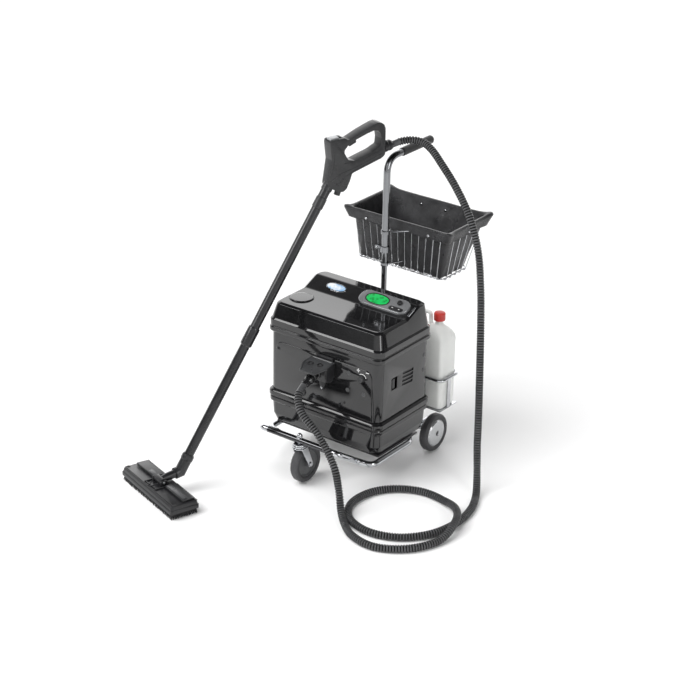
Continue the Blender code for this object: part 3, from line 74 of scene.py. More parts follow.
HOSE_RADIUS = 0.0105
HOSE_CREST = 0.0122             # outer radius of its ribs
HOSE_ROUTE = [
    (-0.012, 0.212, 0.99),
    (0.003, 0.242, 0.996),
    (0.03, 0.264, 1.000),
    (0.066, 0.272, 0.997),
    (0.104, 0.263, 0.985),
    (0.16, 0.24, 0.955),
    (0.235, 0.208, 0.908),
    (0.31, 0.174, 0.842),
    (0.365, 0.146, 0.752),
    (0.397, 0.121, 0.64),
    (0.416, 0.102, 0.52),
    (0.435, 0.086, 0.24),
    (0.44, 0.08, 0.14),
    (0.454, 0.064, 0.065),
    (0.486, 0.014, 0.017),
    (0.52, -0.065, 0.011),
    (0.533, -0.16, 0.011),
    (0.51, -0.265, 0.011),
    (0.445, -0.342, 0.011),
    (0.358, -0.372, 0.011),
    (0.272, -0.348, 0.011),
    (0.218, -0.278, 0.011),
    (0.216, -0.188, 0.011),
    (0.258, -0.115, 0.011),
    (0.335, -0.072, 0.011),
    (0.425, -0.076, 0.013),
    (0.5, -0.12, 0.029),
    (0.545, -0.188, 0.034),
    (0.553, -0.28, 0.014),
    (0.508, -0.375, 0.011),
    (0.42, -0.432, 0.011),
    (0.33, -0.42, 0.011),
    (0.244, -0.354, 0.019),
    (0.204, -0.318, 0.075),
    (0.184, -0.318, 0.15),
    (0.12, -0.315, 0.236),
    (0.05, -0.308, 0.288),
    (0.016, -0.28, 0.322),
    (0.008, -0.2438, 0.3407),
]
PLUG_ROOT = (0.008, -0.187, 0.36)
HANDLE_Z = 0.957                # centre of the push handle's bent end
POST_SPLIT_Z = 0.656            # where the upper post slides into the lower one
BASKET_REST_Z = 0.606
FILLER = (-0.151, -0.053)       # centre of the filler cap
DIAL = (0.151, 0.367)           # centre of the steam dial on the front, (x, z)
FLAP_PIN = (0.011, -0.153, 0.396)
FLAP_SLOPE = 9.0                # how far the closed flap leans back, degrees
BOTTLE_RING_Z = 0.262
PANEL_PROUD = 0.0028            # how far the front panel stands off the housing
ALONG_X = (1.0, 0.0, 0.0)
ALONG_Y = (0.0, 1.0, 0.0)
FORWARD = (0.0, -1.0, 0.0)


# ---------------------------------------------------------------- camera, light and floor
def add_object(name, data):
    made = bpy.data.objects.new(name, data)
    bpy.context.scene.collection.objects.link(made)
    return made


def place_camera():
    data = bpy.data.cameras.new("camera")
    camera = add_object("camera", data)
    azimuth = math.radians(36.109)
    elevation = math.radians(25.139)
    roll = math.radians(1.304)
    back = Vector((math.sin(azimuth) * math.cos(elevation), -math.cos(azimuth) * math.cos(elevation),
                   math.sin(elevation)))
    right = Vector((math.cos(azimuth), math.sin(azimuth), 0.0))
    up = back.cross(right)
    side = right * math.cos(roll) + up * math.sin(roll)
    top = up * math.cos(roll) - right * math.sin(roll)
    target = MACHINE + Vector((0.002, 0.0, 0.37))
    place = target + back * 6.193
    camera.matrix_world = Matrix(((side.x, top.x, back.x, place.x), (side.y, top.y, back.y, place.y),
                                  (side.z, top.z, back.z, place.z), (0.0, 0.0, 0.0, 1.0),))
    data.sensor_width = 36.0
    data.lens = 101.48
    bpy.context.scene.camera = camera


def add_light(name, place, target, size, power):
    data = bpy.data.lights.new(name, "AREA")
    data.shape = "RECTANGLE"
    data.size, data.size_y = size
    data.energy = power
    light = add_object(name, data)
    place = MACHINE + Vector(place)
    light.location = place
    aim = MACHINE + Vector(target) - place
    light.rotation_euler = aim.to_track_quat("-Z", "Y").to_euler()


def ramp_of(nodes, links, value, stops):
    """A grey colour ramp through (position, value) stops."""
    ramp = nodes.new("ShaderNodeValToRGB")
    while len(ramp.color_ramp.elements) < len(stops):
        ramp.color_ramp.elements.new(0.5)
    for element, (position, level) in zip(ramp.color_ramp.elements, stops):
        element.position = position
        element.color = (level, level, level, 1.0)
    links.new(value, ramp.inputs[0])
    return ramp.outputs[0]


def light_the_room():
    world = bpy.data.worlds.new("studio")
    bpy.context.scene.world = world
    world.use_nodes = True
    nodes = world.node_tree.nodes
    links = world.node_tree.links
    place = nodes.new("ShaderNodeTexCoord").outputs["Generated"]
    split = nodes.new("ShaderNodeSeparateXYZ")
    links.new(place, split.inputs[0])
    height = ramp_of(nodes, links, split.outputs["Z"], [(0.46, 1.0), (0.74, 0.12)])
    toward = nodes.new("ShaderNodeVectorMath")
    toward.operation = "DOT_PRODUCT"
    toward.inputs[1].default_value = (-0.589, 0.808, 0.0)
    links.new(place, toward.inputs[0])
    turn = spread(nodes, links, toward.outputs["Value"], 0.0, 1.0, -1.0, 1.0)
    flags = ramp_of(nodes, links, turn, [(0.00, 0.4), (0.2, 0.32), (0.34, 0.03), (0.56, 0.03),
                                         (0.68, 0.2), (0.8, 0.8), (1.00, 1.0)])
    both = nodes.new("ShaderNodeMath")
    both.operation = "MULTIPLY"
    links.new(height, both.inputs[0])
    links.new(flags, both.inputs[1])
    links.new(both.outputs[0], nodes["Background"].inputs["Color"])
    nodes["Background"].inputs["Strength"].default_value = 2.1
    add_light("key", (-1.7, -2.4, 2.4), (0.0, 0.0, 0.4), (1.6, 1.2), 38.0)
    add_light("fill", (2.8, -0.9, 1.5), (0.0, 0.0, 0.4), (0.9, 1.6), 20.0)
    data = bpy.data.lights.new("daylight", "SUN")
    data.energy = 2.7
    data.angle = math.radians(50.0)
    sun = add_object("daylight", data)
    sun.rotation_euler = (math.radians(24.0), math.radians(-16.0), 0.0)
    sun.visible_glossy = False
    bpy.context.scene.view_settings.view_transform = "Standard"


def lay_floor():
    builder = bmesh.new()
    bmesh.ops.create_grid(builder, x_segments=2, y_segments=2, size=6.0)
    mesh = bpy.data.meshes.new("floor")
    builder.to_mesh(mesh)
    builder.free()
    floor = add_object("floor", mesh)
    floor.location = (MACHINE.x, MACHINE.y, -0.0002)
    mesh.materials.append(surface("floor_paper", (0.92, 0.92, 0.92), 0.6, mottle=0.01, mottle_scale=3.0))


# ---------------------------------------------------------------- materials
def mix_colours(nodes, links, factor, first, second):
    mix = nodes.new("ShaderNodeMix")
    mix.data_type = "RGBA"
    links.new(factor, mix.inputs[0])
    for socket, value in ((mix.inputs[6], first), (mix.inputs[7], second)):
        if isinstance(value, tuple):
            socket.default_value = (*value, 1.0)
        else:
            links.new(value, socket)
    return mix.outputs[2]


def noise_of(nodes, links, place, scale, detail=4.0, stretch=None):
    made = nodes.new("ShaderNodeTexNoise")
    made.inputs["Scale"].default_value = scale
    made.inputs["Detail"].default_value = detail
    if stretch:
        mapping = nodes.new("ShaderNodeMapping")
        mapping.inputs["Scale"].default_value = stretch
        links.new(place, mapping.inputs["Vector"])
        place = mapping.outputs["Vector"]
    links.new(place, made.inputs["Vector"])
    return made.outputs["Fac"]


def spread(nodes, links, value, low, high, from_low=0.3, from_high=0.7):
    ranged = nodes.new("ShaderNodeMapRange")
    ranged.inputs["From Min"].default_value = from_low
    ranged.inputs["From Max"].default_value = from_high
    ranged.inputs["To Min"].default_value = low
    ranged.inputs["To Max"].default_value = high
    links.new(value, ranged.inputs["Value"])
    return ranged.outputs["Result"]


def blank_finish(name):
    """A new node material, its shader and the object coordinates that its textures use."""
    made = bpy.data.materials.new(name)
    made.use_nodes = True
    nodes = made.node_tree.nodes
    place = nodes.new("ShaderNodeTexCoord").outputs["Object"]
    return made, nodes, made.node_tree.links, nodes["Principled BSDF"], place


def surface(name, colour, roughness, metallic=0.0, mottle=0.18, mottle_scale=26.0, rough_spread=0.05,
            grain=0.0, grain_scale=700.0, stretch=None, weave=0.0, weave_scale=420.0, coat=0.0, dust=0.0):
    """A procedural finish: blotchy colour, uneven gloss, grain or weave in its bump, specks of dust."""
    made, nodes, links, shader, place = blank_finish(name)
    blotch = noise_of(nodes, links, place, mottle_scale, 5.0, stretch)
    dark = tuple(channel * (1.0 - mottle) for channel in colour)
    light = tuple(min(1.0, channel * (1.0 + mottle)) for channel in colour)
    tone = mix_colours(nodes, links, spread(nodes, links, blotch, 0.0, 1.0), dark, light)
    if dust > 0.0:
        speck = spread(nodes, links, noise_of(nodes, links, place, 160.0, 8.0), 0.0, dust, 0.55, 0.8)
        tone = mix_colours(nodes, links, speck, tone, (0.35, 0.34, 0.32))
    links.new(tone, shader.inputs["Base Color"])
    smear = noise_of(nodes, links, place, mottle_scale * 0.35, 6.0, stretch)
    rough = spread(nodes, links, smear, max(0.02, roughness - rough_spread), roughness + rough_spread)
    links.new(rough, shader.inputs["Roughness"])
    shader.inputs["Metallic"].default_value = metallic
    shader.inputs["Coat Weight"].default_value = coat
    shader.inputs["Coat Roughness"].default_value = 0.05
    height = None
    if grain > 0.0:
        height = noise_of(nodes, links, place, grain_scale, 3.0, stretch)
    if weave > 0.0:
        height = woven(nodes, links, place, weave_scale)
    if height is not None:
        bump = nodes.new("ShaderNodeBump")
        bump.inputs["Strength"].default_value = max(grain, weave)
        bump.inputs["Distance"].default_value = 0.0006
        links.new(height, bump.inputs["Height"])
        links.new(bump.outputs["Normal"], shader.inputs["Normal"])
    return made


def woven(nodes, links, place, scale):
    """Threads over and under each other: the product of two crossing waves."""
    waves = []
    for direction in ("X", "Z"):
        wave = nodes.new("ShaderNodeTexWave")
        wave.wave_type = "BANDS"
        wave.bands_direction = direction
        wave.inputs["Scale"].default_value = scale
        wave.inputs["Distortion"].default_value = 0.6
        links.new(place, wave.inputs["Vector"])
        waves.append(wave.outputs["Fac"])
    product = nodes.new("ShaderNodeMath")
    product.operation = "MULTIPLY"
    links.new(waves[0], product.inputs[0])
    links.new(waves[1], product.inputs[1])
    return product.outputs[0]


def bottle_plastic():
    made = surface("bottle_milk", (0.8, 0.81, 0.79), 0.32, mottle=0.04, mottle_scale=12.0, grain=0.1,
                   grain_scale=300.0)
    shader = made.node_tree.nodes["Principled BSDF"]
    shader.inputs["Subsurface Weight"].default_value = 0.35
    shader.inputs["Subsurface Radius"].default_value = (0.02, 0.02, 0.02)
    shader.inputs["Subsurface Scale"].default_value = 0.6
    return made


def display_glass():
    """Green window with a few soft darker cells, under a clear coat."""
    made, nodes, links, shader, place = blank_finish("display_green")
    cells = nodes.new("ShaderNodeTexVoronoi")
    cells.inputs["Scale"].default_value = 90.0
    links.new(place, cells.inputs["Vector"])
    patch = spread(nodes, links, cells.outputs["Distance"], 0.0, 1.0, 0.15, 0.55)
    tone = mix_colours(nodes, links, patch, (0.008, 0.2, 0.04), (0.012, 0.42, 0.09))
    links.new(tone, shader.inputs["Base Color"])
    links.new(tone, shader.inputs["Emission Color"])
    shader.inputs["Emission Strength"].default_value = 0.22
    shader.inputs["Roughness"].default_value = 0.12
    shader.inputs["Coat Weight"].default_value = 0.6
    return made


def badge_enamel():
    made, nodes, links, shader, place = blank_finish("badge_enamel")
    cloud = spread(nodes, links, noise_of(nodes, links, place, 45.0, 2.0), 0.0, 1.0, 0.35, 0.65)
    tone = mix_colours(nodes, links, cloud, (0.25, 0.45, 0.7), (0.8, 0.83, 0.84))
    links.new(tone, shader.inputs["Base Color"])
    shader.inputs["Roughness"].default_value = 0.2
    return made


FINISH = {
    "gloss": surface("black_gloss", (0.0085, 0.0085, 0.0092), 0.06, mottle=0.25, rough_spread=0.03,
                     grain=0.03, grain_scale=60.0, coat=0.35, dust=0.015),
    "panel": surface("black_panel", (0.01, 0.01, 0.0108), 0.1, mottle=0.25, rough_spread=0.04,
                     grain=0.04, grain_scale=80.0, coat=0.35, dust=0.02),
    "plug": surface("plug_grey", (0.055, 0.056, 0.058), 0.3, mottle=0.15, grain=0.08),
    "satin": surface("black_satin", (0.014, 0.014, 0.0155), 0.32, mottle=0.25, grain=0.22,
                     grain_scale=1400.0, dust=0.04),
    "gun": surface("gun_plastic", (0.019, 0.0195, 0.021), 0.29, mottle=0.22, grain=0.2, grain_scale=1200.0,
                   dust=0.05),
    "tube": surface("wand_tube", (0.014, 0.014, 0.0155), 0.18, mottle=0.25, grain=0.08, grain_scale=500.0,
                    dust=0.03),
    "chrome": surface("chrome", (0.56, 0.57, 0.59), 0.07, 1.0, mottle=0.05, rough_spread=0.04, grain=0.03,
                      grain_scale=90.0),
    # Chrome darkened to stand for the dark reflections along the post and hangers: painted reflection.
    "post": surface("chrome_painted_dark_reflection", (0.23, 0.235, 0.245), 0.06, 1.0, mottle=0.05, rough_spread=0.04,
                    grain=0.03, grain_scale=90.0),
    # Chrome darkened nearly to black for the front bar: painted dark reflection.
    "bar": surface("bar_chrome_painted_dark_reflection", (0.1, 0.1, 0.105), 0.1, 1.0, mottle=0.06, rough_spread=0.04, grain=0.03,
                   grain_scale=90.0),
    "lid": surface("lid_plastic", (0.04, 0.041, 0.043), 0.26, mottle=0.2, grain=0.1, grain_scale=900.0,
                   dust=0.03),
    # Near-black for the tool head's corner squares: painted shade of recesses.
    "recess": surface("recess_painted_shade", (0.004, 0.004, 0.004), 0.55, mottle=0.2),
    "steel": surface("steel", (0.48, 0.49, 0.5), 0.32, 1.0, mottle=0.12, rough_spread=0.1, grain=0.1,
                     grain_scale=500.0, stretch=(1.0, 12.0, 1.0)),
    "brass": surface("brass", (0.62, 0.45, 0.18), 0.28, 1.0, mottle=0.12, rough_spread=0.1, grain=0.05),
    "tyre": surface("tyre", (0.05, 0.05, 0.053), 0.58, mottle=0.2, rough_spread=0.12, grain=0.35,
                    grain_scale=900.0, dust=0.1),
    "hub": surface("hub_grey", (0.085, 0.087, 0.09), 0.42, mottle=0.18, grain=0.12, dust=0.06),
    "hubcap": surface("hubcap_silver", (0.58, 0.59, 0.6), 0.26, 0.85, mottle=0.1, rough_spread=0.08,
                      grain=0.05, grain_scale=300.0),
    "pod": surface("pod_silver", (0.3, 0.305, 0.315), 0.26, 0.55, mottle=0.1, rough_spread=0.06,
                   grain=0.08, grain_scale=1500.0),
    "button": surface("button_grey", (0.38, 0.39, 0.4), 0.32, 0.1, mottle=0.1, grain=0.1),
    "rubber": surface("rubber", (0.02, 0.02, 0.021), 0.55, mottle=0.25, grain=0.3, dust=0.05),
    # The hose colour is lighter than its black cover: painted sheen for the lit rib crests and cuffs.
    "hose": surface("hose_cover_with_painted_sheen", (0.07, 0.071, 0.074), 0.28, mottle=0.3, rough_spread=0.08, grain=0.1,
                    dust=0.03),
    # Near-black hose grooves: painted shade between the ribs.
    "groove": surface("hose_groove_painted_shade", (0.0015, 0.0015, 0.0015), 0.75, mottle=0.3, rough_spread=0.08),
    "vinyl": surface("liner_cloth", (0.022, 0.022, 0.024), 0.33, mottle=0.35, mottle_scale=40.0,
                     rough_spread=0.12, weave=0.35, dust=0.03),
    "red": surface("red_cap", (0.5, 0.03, 0.022), 0.34, mottle=0.12, grain=0.1),
    "board": surface("board_green", (0.03, 0.2, 0.08), 0.45, mottle=0.3, mottle_scale=200.0, grain=0.2),
    "tank": surface("tank_white", (0.66, 0.67, 0.66), 0.42, mottle=0.05, grain=0.1),
    "bristle": surface("bristle", (0.012, 0.012, 0.013), 0.5, mottle=0.35, mottle_scale=300.0),
    "mark": surface("mark_white", (0.8, 0.8, 0.8), 0.4, mottle=0.05),
    "bottle": bottle_plastic(),
    "display": display_glass(),
    "badge": badge_enamel(),
}


# ---------------------------------------------------------------- shape tools
def rounded_rectangle(half_x, half_y, radius, z, centre=(0.0, 0.0), segments=8):
    points = []
    for quarter in range(4):
        sign_x = 1.0 if quarter in (0, 3) else -1.0
        sign_y = 1.0 if quarter in (0, 1) else -1.0
        for step in range(segments + 1):
            angle = math.radians(90.0 * (quarter + step / segments))
            x = centre[0] + sign_x * (half_x - radius) + radius * math.cos(angle)
            y = centre[1] + sign_y * (half_y - radius) + radius * math.sin(angle)
            points.append(Vector((x, y, z)))
    return points


def loft(sections, ring=False):
    made = bmesh.new()
    loops = [[made.verts.new(point) for point in section] for section in sections]
    pairs = list(zip(loops, loops[1:]))
    if ring:
        pairs.append((loops[-1], loops[0]))
    for lower, upper in pairs:
        count = len(lower)
        for index in range(count):
            after = (index + 1) % count
            made.faces.new((lower[index], lower[after], upper[after], upper[index]))
    if not ring:
        made.faces.new(list(reversed(loops[0])))
        made.faces.new(loops[-1])
    return made


def lathe(profile, sides, centre=(0.0, 0.0, 0.0), axis=(0.0, 0.0, 1.0), ring=False, scallop=0.0, lobes=0):
    """Turn (radius, height) points about an axis; scallop pulls in the given number of lobes."""
    made = bmesh.new()
    turn = Vector((0.0, 0.0, 1.0)).rotation_difference(Vector(axis).normalized()).to_matrix()
    loops = []
    for radius, height in profile:
        count = 1 if radius == 0.0 else sides
        loop = []
        for index in range(count):
            angle = 2.0 * math.pi * index / sides
            reach = radius
            if lobes:
                reach = radius * (1.0 - scallop * (0.5 - 0.5 * math.cos(lobes * angle)))
            point = Vector((reach * math.cos(angle), reach * math.sin(angle), height))
            loop.append(made.verts.new(Vector(centre) + turn @ point))
        loops.append(loop)
    pairs = list(zip(loops, loops[1:]))
    if ring:
        pairs.append((loops[-1], loops[0]))
    for lower, upper in pairs:
        for index in range(sides):
            after = (index + 1) % sides
            if len(lower) == 1:
                made.faces.new((lower[0], upper[after], upper[index]))
            elif len(upper) == 1:
                made.faces.new((lower[index], lower[after], upper[0]))
            else:
                made.faces.new((lower[index], lower[after], upper[after], upper[index]))
    if not ring and len(loops[0]) > 1:
        made.faces.new(loops[0])
    if not ring and len(loops[-1]) > 1:
        made.faces.new(loops[-1])
    return made


def soften(corners, radius, steps=4):
    """Replace each inner corner of a polyline by a small arc."""
    corners = [Vector(corner) for corner in corners]
    path = [corners[0]]
    for before, corner, after in zip(corners, corners[1:], corners[2:]):
        to_before = (before - corner).normalized()
        to_after = (after - corner).normalized()
        half = to_before.angle(to_after) / 2.0
        reach = min(radius / max(math.tan(half), 1e-4), 0.48 * (before - corner).length,
                    0.48 * (after - corner).length)
        start = corner + to_before * reach
        end = corner + to_after * reach
        for step in range(steps + 1):
            t = step / steps
            path.append(start.lerp(corner, t).lerp(corner.lerp(end, t), t))
    path.append(corners[-1])
    return path


def soft_profile(corners, radius, steps=4):
    """The same for a turned or lofted profile of (radius or inset, height) pairs."""
    return [(point.x, point.z) for point in soften([(a, 0.0, b) for a, b in corners], radius, steps)]


def rounded_outline(outline, radius, steps=4):
    """Round every corner of a closed (y, z) outline."""
    count = len(outline)
    rounded = []
    for index in range(count):
        trio = [(*outline[(index + shift) % count], 0.0) for shift in (-1, 0, 1)]
        rounded += [(point.x, point.y) for point in soften(trio, radius, steps)[1:-1]]
    return rounded


def prism(outline, low_x, high_x, crown=0.0):
    """Extrude a (y, z) outline along X with its two rims rounded over by crown."""
    steps = 4 if crown > 0.0 else 0
    rows = []
    for step in range(steps + 1):
        angle = math.pi / 2.0 * step / max(steps, 1)
        rows.append((low_x + crown * (1.0 - math.cos(angle)), crown * (1.0 - math.sin(angle))))
    rows += [(low_x + high_x - x, inset) for x, inset in reversed(rows)]
    sections = []
    normals = outline_normals(outline)
    for x, inset in rows:
        sections.append([Vector((x, y - ny * inset, z - nz * inset))
                         for (y, z), (ny, nz) in zip(outline, normals)])
    return loft(sections)


def outline_normals(outline):
    """Outward unit normals of a closed outline, whichever way round it runs."""
    count = len(outline)
    area = sum(outline[i - 1][0] * outline[i][1] - outline[i][0] * outline[i - 1][1]
               for i in range(count))
    sign = 1.0 if area > 0.0 else -1.0
    normals = []
    for index in range(count):
        ay, az = outline[index - 1]
        by, bz = outline[(index + 1) % count]
        length = math.hypot(by - ay, bz - az) or 1.0
        normals.append((sign * (bz - az) / length, -sign * (by - ay) / length))
    return normals


def curve_through(points, spacing):
    """Centripetal Catmull-Rom curve through the points, read at an even spacing."""
    knots = [Vector(point) for point in points]
    knots = [knots[0] * 2.0 - knots[1]] + knots + [knots[-1] * 2.0 - knots[-2]]
    dense = []
    for i in range(1, len(knots) - 2):
        a, b, c, d = knots[i - 1:i + 3]
        tb = (b - a).length ** 0.5
        tc = tb + (c - b).length ** 0.5
        td = tc + (d - c).length ** 0.5
        for step in range(24):
            t = tb + (tc - tb) * step / 24.0
            ab = a.lerp(b, t / tb)
            bc = b.lerp(c, (t - tb) / (tc - tb))
            cd = c.lerp(d, (t - tc) / (td - tc))
            dense.append(ab.lerp(bc, t / tc).lerp(bc.lerp(cd, (t - tb) / (td - tb)),
                                                  (t - tb) / (tc - tb)))
    dense.append(knots[-2])
    lengths = [0.0]
    for before, after in zip(dense, dense[1:]):
        lengths.append(lengths[-1] + (after - before).length)
    count = max(2, round(lengths[-1] / spacing))
    even = []
    index = 0
    for step in range(count + 1):
        wanted = lengths[-1] * step / count
        while index < len(lengths) - 2 and lengths[index + 1] < wanted:
            index += 1
        share = (wanted - lengths[index]) / (lengths[index + 1] - lengths[index])
        even.append(dense[index].lerp(dense[index + 1], min(1.0, share)))
    return even


def sweep(path, radius, sides=20, radii=None):
    """Closed solid tube along a path, carried without twist."""
    path = [Vector(point) for point in path]
    radii = radii or [radius] * len(path)
    side = (path[1] - path[0]).normalized().orthogonal().normalized()
    sections = []
    for index, point in enumerate(path):
        before = path[max(0, index - 1)]
        after = path[min(len(path) - 1, index + 1)]
        tangent = (after - before).normalized()
        side = (side - tangent * side.dot(tangent)).normalized()
        other = tangent.cross(side)
        loop = []
        for corner in range(sides):
            angle = 2.0 * math.pi * corner / sides
            loop.append(point + (side * math.cos(angle) + other * math.sin(angle)) * radii[index])
        sections.append(loop)
    return loft(sections)


def mitred_pipe(points, radius, sides):
    """Solid round pipe along a few straight runs, with a flat mitre where two runs meet."""
    runs = [(after - before).normalized() for before, after in zip(points, points[1:])]
    side = runs[0].orthogonal().normalized()
    other = runs[0].cross(side)
    ring = []
    for index in range(sides):
        angle = 2.0 * math.pi * index / sides
        ring.append(points[0] + (side * math.cos(angle) + other * math.sin(angle)) * radius)
    sections = [ring]
    for index, run in enumerate(runs):
        normal = run
        if index + 1 < len(runs):
            normal = (run + runs[index + 1]).normalized()
        ring = [point + run * ((points[index + 1] - point).dot(normal) / run.dot(normal))
                for point in ring]
        sections.append(ring)
    return loft(sections)


def block(low, high, radius=0.0, segments=3):
    made = bmesh.new()
    bmesh.ops.create_cube(made, size=1.0)
    for vert in made.verts:
        vert.co = Vector([low[i] + (vert.co[i] + 0.5) * (high[i] - low[i]) for i in range(3)])
    if radius > 0.0:
        bmesh.ops.bevel(made, geom=list(made.edges), offset=radius, segments=segments, profile=0.5,
                        affect="EDGES")
    return made


def turned(builder, degrees, axis, centre):
    spin = Matrix.Rotation(math.radians(degrees), 3, Vector(axis))
    bmesh.ops.rotate(builder, verts=builder.verts, cent=Vector(centre), matrix=spin)
    return builder


def merged(builders):
    """Several shapes as one mesh, for groups of wires, tufts or marks."""
    made = bmesh.new()
    for builder in builders:
        mesh = bpy.data.meshes.new("part")
        builder.to_mesh(mesh)
        builder.free()
        made.from_mesh(mesh)
        bpy.data.meshes.remove(mesh)
    return made


def piece(name, builder, finish, body, nodes=(), place=TO_MACHINE, smooth=40.0, slot=None, bevel=0.0,
          cuts=(), keep_normals=False):
    """Finish a bmesh, place it, let it ride on a body and stand for its CAD nodes."""
    if not keep_normals:
        bmesh.ops.recalc_face_normals(builder, faces=builder.faces)
    mesh = bpy.data.meshes.new(name)
    builder.to_mesh(mesh)
    builder.free()
    mesh.transform(place)
    mesh.materials.append(FINISH[finish])
    made = add_object(name, mesh)
    if cuts:
        carve(made, cuts, place)
    if bevel > 0.0:
        modifier = made.modifiers.new("edges", "BEVEL")
        modifier.width = bevel
        modifier.segments = 3
        modifier.limit_method = "ANGLE"
        modifier.angle_limit = math.radians(32.0)
        bake(made)
    made.data.shade_smooth()
    made.data.set_sharp_from_angle(angle=math.radians(smooth))
    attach(made, body)
    if nodes:
        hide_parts(*nodes)
    return made


def wand_piece(*details, **more):
    return piece(*details, place=TO_WAND, **more)


def bake(target):
    """Apply an object's modifiers to its mesh."""
    graph = bpy.context.evaluated_depsgraph_get()
    baked = bpy.data.meshes.new_from_object(target.evaluated_get(graph))
    old = target.data
    target.modifiers.clear()
    target.data = baked
    bpy.data.meshes.remove(old)


def carve(target, cuts, place):
    """Cut solids out of a piece."""
    cutters = []
    for index, builder in enumerate(cuts):
        bmesh.ops.recalc_face_normals(builder, faces=builder.faces)
        mesh = bpy.data.meshes.new("cutter")
        builder.to_mesh(mesh)
        builder.free()
        mesh.transform(place)
        cutter = add_object(f"cutter_{index}", mesh)
        boolean = target.modifiers.new("cut", "BOOLEAN")
        boolean.operation = "DIFFERENCE"
        boolean.solver = "EXACT"
        boolean.object = cutter
        cutters.append(cutter)
    bpy.context.view_layer.update()
    bake(target)
    for cutter in cutters:
        bpy.data.objects.remove(cutter)


def dress(node, finish, bevel=0.0):
    """A CAD node whose shape stays: weld its facets, round its edges and give it a real finish."""
    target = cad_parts[node]
    target.data.materials.clear()
    target.data.materials.append(FINISH[finish])
    weld = target.modifiers.new("weld", "WELD")
    weld.merge_threshold = 0.00002
    if bevel > 0.0:
        edges = target.modifiers.new("edges", "BEVEL")
        edges.width = bevel
        edges.segments = 2
        edges.limit_method = "ANGLE"
        edges.angle_limit = math.radians(40.0)
    for polygon in target.data.polygons:
        polygon.use_smooth = True
    split = target.modifiers.new("creases", "EDGE_SPLIT")
    split.split_angle = math.radians(38.0)


def screw_head(centre, axis, radius=0.004, finish="chrome", name="screw", body="machine",
               place=TO_MACHINE):
    head = lathe([(radius, 0.0), (radius * 0.95, radius * 0.35), (radius * 0.6, radius * 0.55),
                  (radius * 0.35, radius * 0.3), (0.0, radius * 0.28)], 20, centre, axis)
    return piece(name, head, finish, body, place=place)


# ---------------------------------------------------------------- steam hose
def build_hose():
    pitch = 0.0084
    depth = 0.003
    sides = 16
    gun_axis = Vector((-math.sin(TOOL_YAW), math.cos(TOOL_YAW), 0.0))
    plug_axis = (Vector(HOSE_ROUTE[-1]) - Vector(PLUG_ROOT)).normalized()
    path = curve_through(HOSE_ROUTE, pitch / 6.0)
    ease = 26
    for index in range(ease):
        share = 1.0 - index / ease
        straight = Vector(HOSE_ROUTE[0]) + gun_axis * (index * pitch / 6.0)
        path[index] = path[index].lerp(straight, share * share)
        straight = Vector(HOSE_ROUTE[-1]) + plug_axis * (index * pitch / 6.0)
        path[-1 - index] = path[-1 - index].lerp(straight, share * share)
    radii = []
    cuff = 20
    for index in range(len(path)):
        path[index].z = max(path[index].z, HOSE_CREST + 0.0002)
        rib = (0.0, 0.8, 1.0, 1.0, 0.8, 0.0)[index % 6]
        near_end = min(index, len(path) - 1 - index) < cuff
        crest = HOSE_CREST + (HOSE_RADIUS - HOSE_CREST) * near_end
        radii.append(crest if near_end else crest - depth * (1.0 - rib))
    path = [point + MACHINE for point in path]
    hose = piece("hose_corrugated", sweep(path, HOSE_RADIUS, sides, radii), "hose", "machine",
                 ("steam_hose",), place=Matrix.Identity(4), smooth=75.0)
    # Groove faces take the near-black painted shade; the crests keep the lighter painted sheen.
    hose.data.materials.append(FINISH["groove"])
    for polygon in hose.data.polygons:
        step = polygon.index // sides
        if step % 6 in (0, 4, 5) and cuff < step < len(path) - cuff:
            polygon.material_index = 1
    line = list(reversed(path[::4] + [path[-1]]))
    length = sum((after - before).length for before, after in zip(line, line[1:]))
    return hose, line, length


def build_hose_ends():
    axis = (Vector(HOSE_ROUTE[-1]) - Vector(PLUG_ROOT)).normalized()
    reach = (Vector(HOSE_ROUTE[-1]) - Vector(PLUG_ROOT)).length - 0.0004
    profile = soft_profile([(0.0, -0.026), (0.011, -0.026), (0.0125, -0.022), (0.0125, 0.006),
                            (0.0158, 0.009), (0.0158, 0.018), (0.0148, 0.019), (0.0148, 0.023),
                            (0.0158, 0.024), (0.0158, 0.034), (0.0125, 0.041), (0.0128, reach - 0.006),
                            (0.0118, reach), (0.0, reach)], 0.0008, 3)
    plug = piece("plug_body", lathe(profile, 32, PLUG_ROOT, axis), "gloss", "machine", ("hose_plug",))
    return plug


# ---------------------------------------------------------------- housing
def housing_loop(inset, z, radius=CORNER, segments=10):
    return rounded_rectangle(HALF_X - inset, HALF_Y - inset, max(0.004, radius), z, segments=segments)


def lift(y):
    """Height of the console step at depth y, with both creases eased."""
    ease = 0.005
    total = 0.0
    for crease, sign in ((CREASE_FRONT, 1.0), (CREASE_REAR, -1.0)):
        over = y - crease
        if over >= ease:
            total += sign * over
        elif over > -ease:
            total += sign * (over + ease) ** 2 / (4.0 * ease)
    return total * RISE / (CREASE_REAR - CREASE_FRONT)


def build_lower_shell():
    outer = soft_profile([(0.06, 0.1072), (0.034, 0.1072), (0.0155, 0.118), (0.01, 0.14), (0.008, 0.1815),
                          (0.002, 0.1865), (0.002, 0.199), (0.0042, 0.203), (0.0002, 0.2065),
                          (0.0002, 0.2205), (0.005, 0.226), (0.012, 0.226)], 0.003, 4)
    inner = [(0.014, 0.214), (0.016, 0.139), (0.03, 0.12), (0.06, 0.1102)]
    sections = [housing_loop(inset, z, CORNER + 0.004 if z < 0.13 else CORNER)
                for inset, z in outer + inner]
    piece("shell_lower", loft(sections), "gloss", "machine", ("lower_shell",), smooth=50.0)


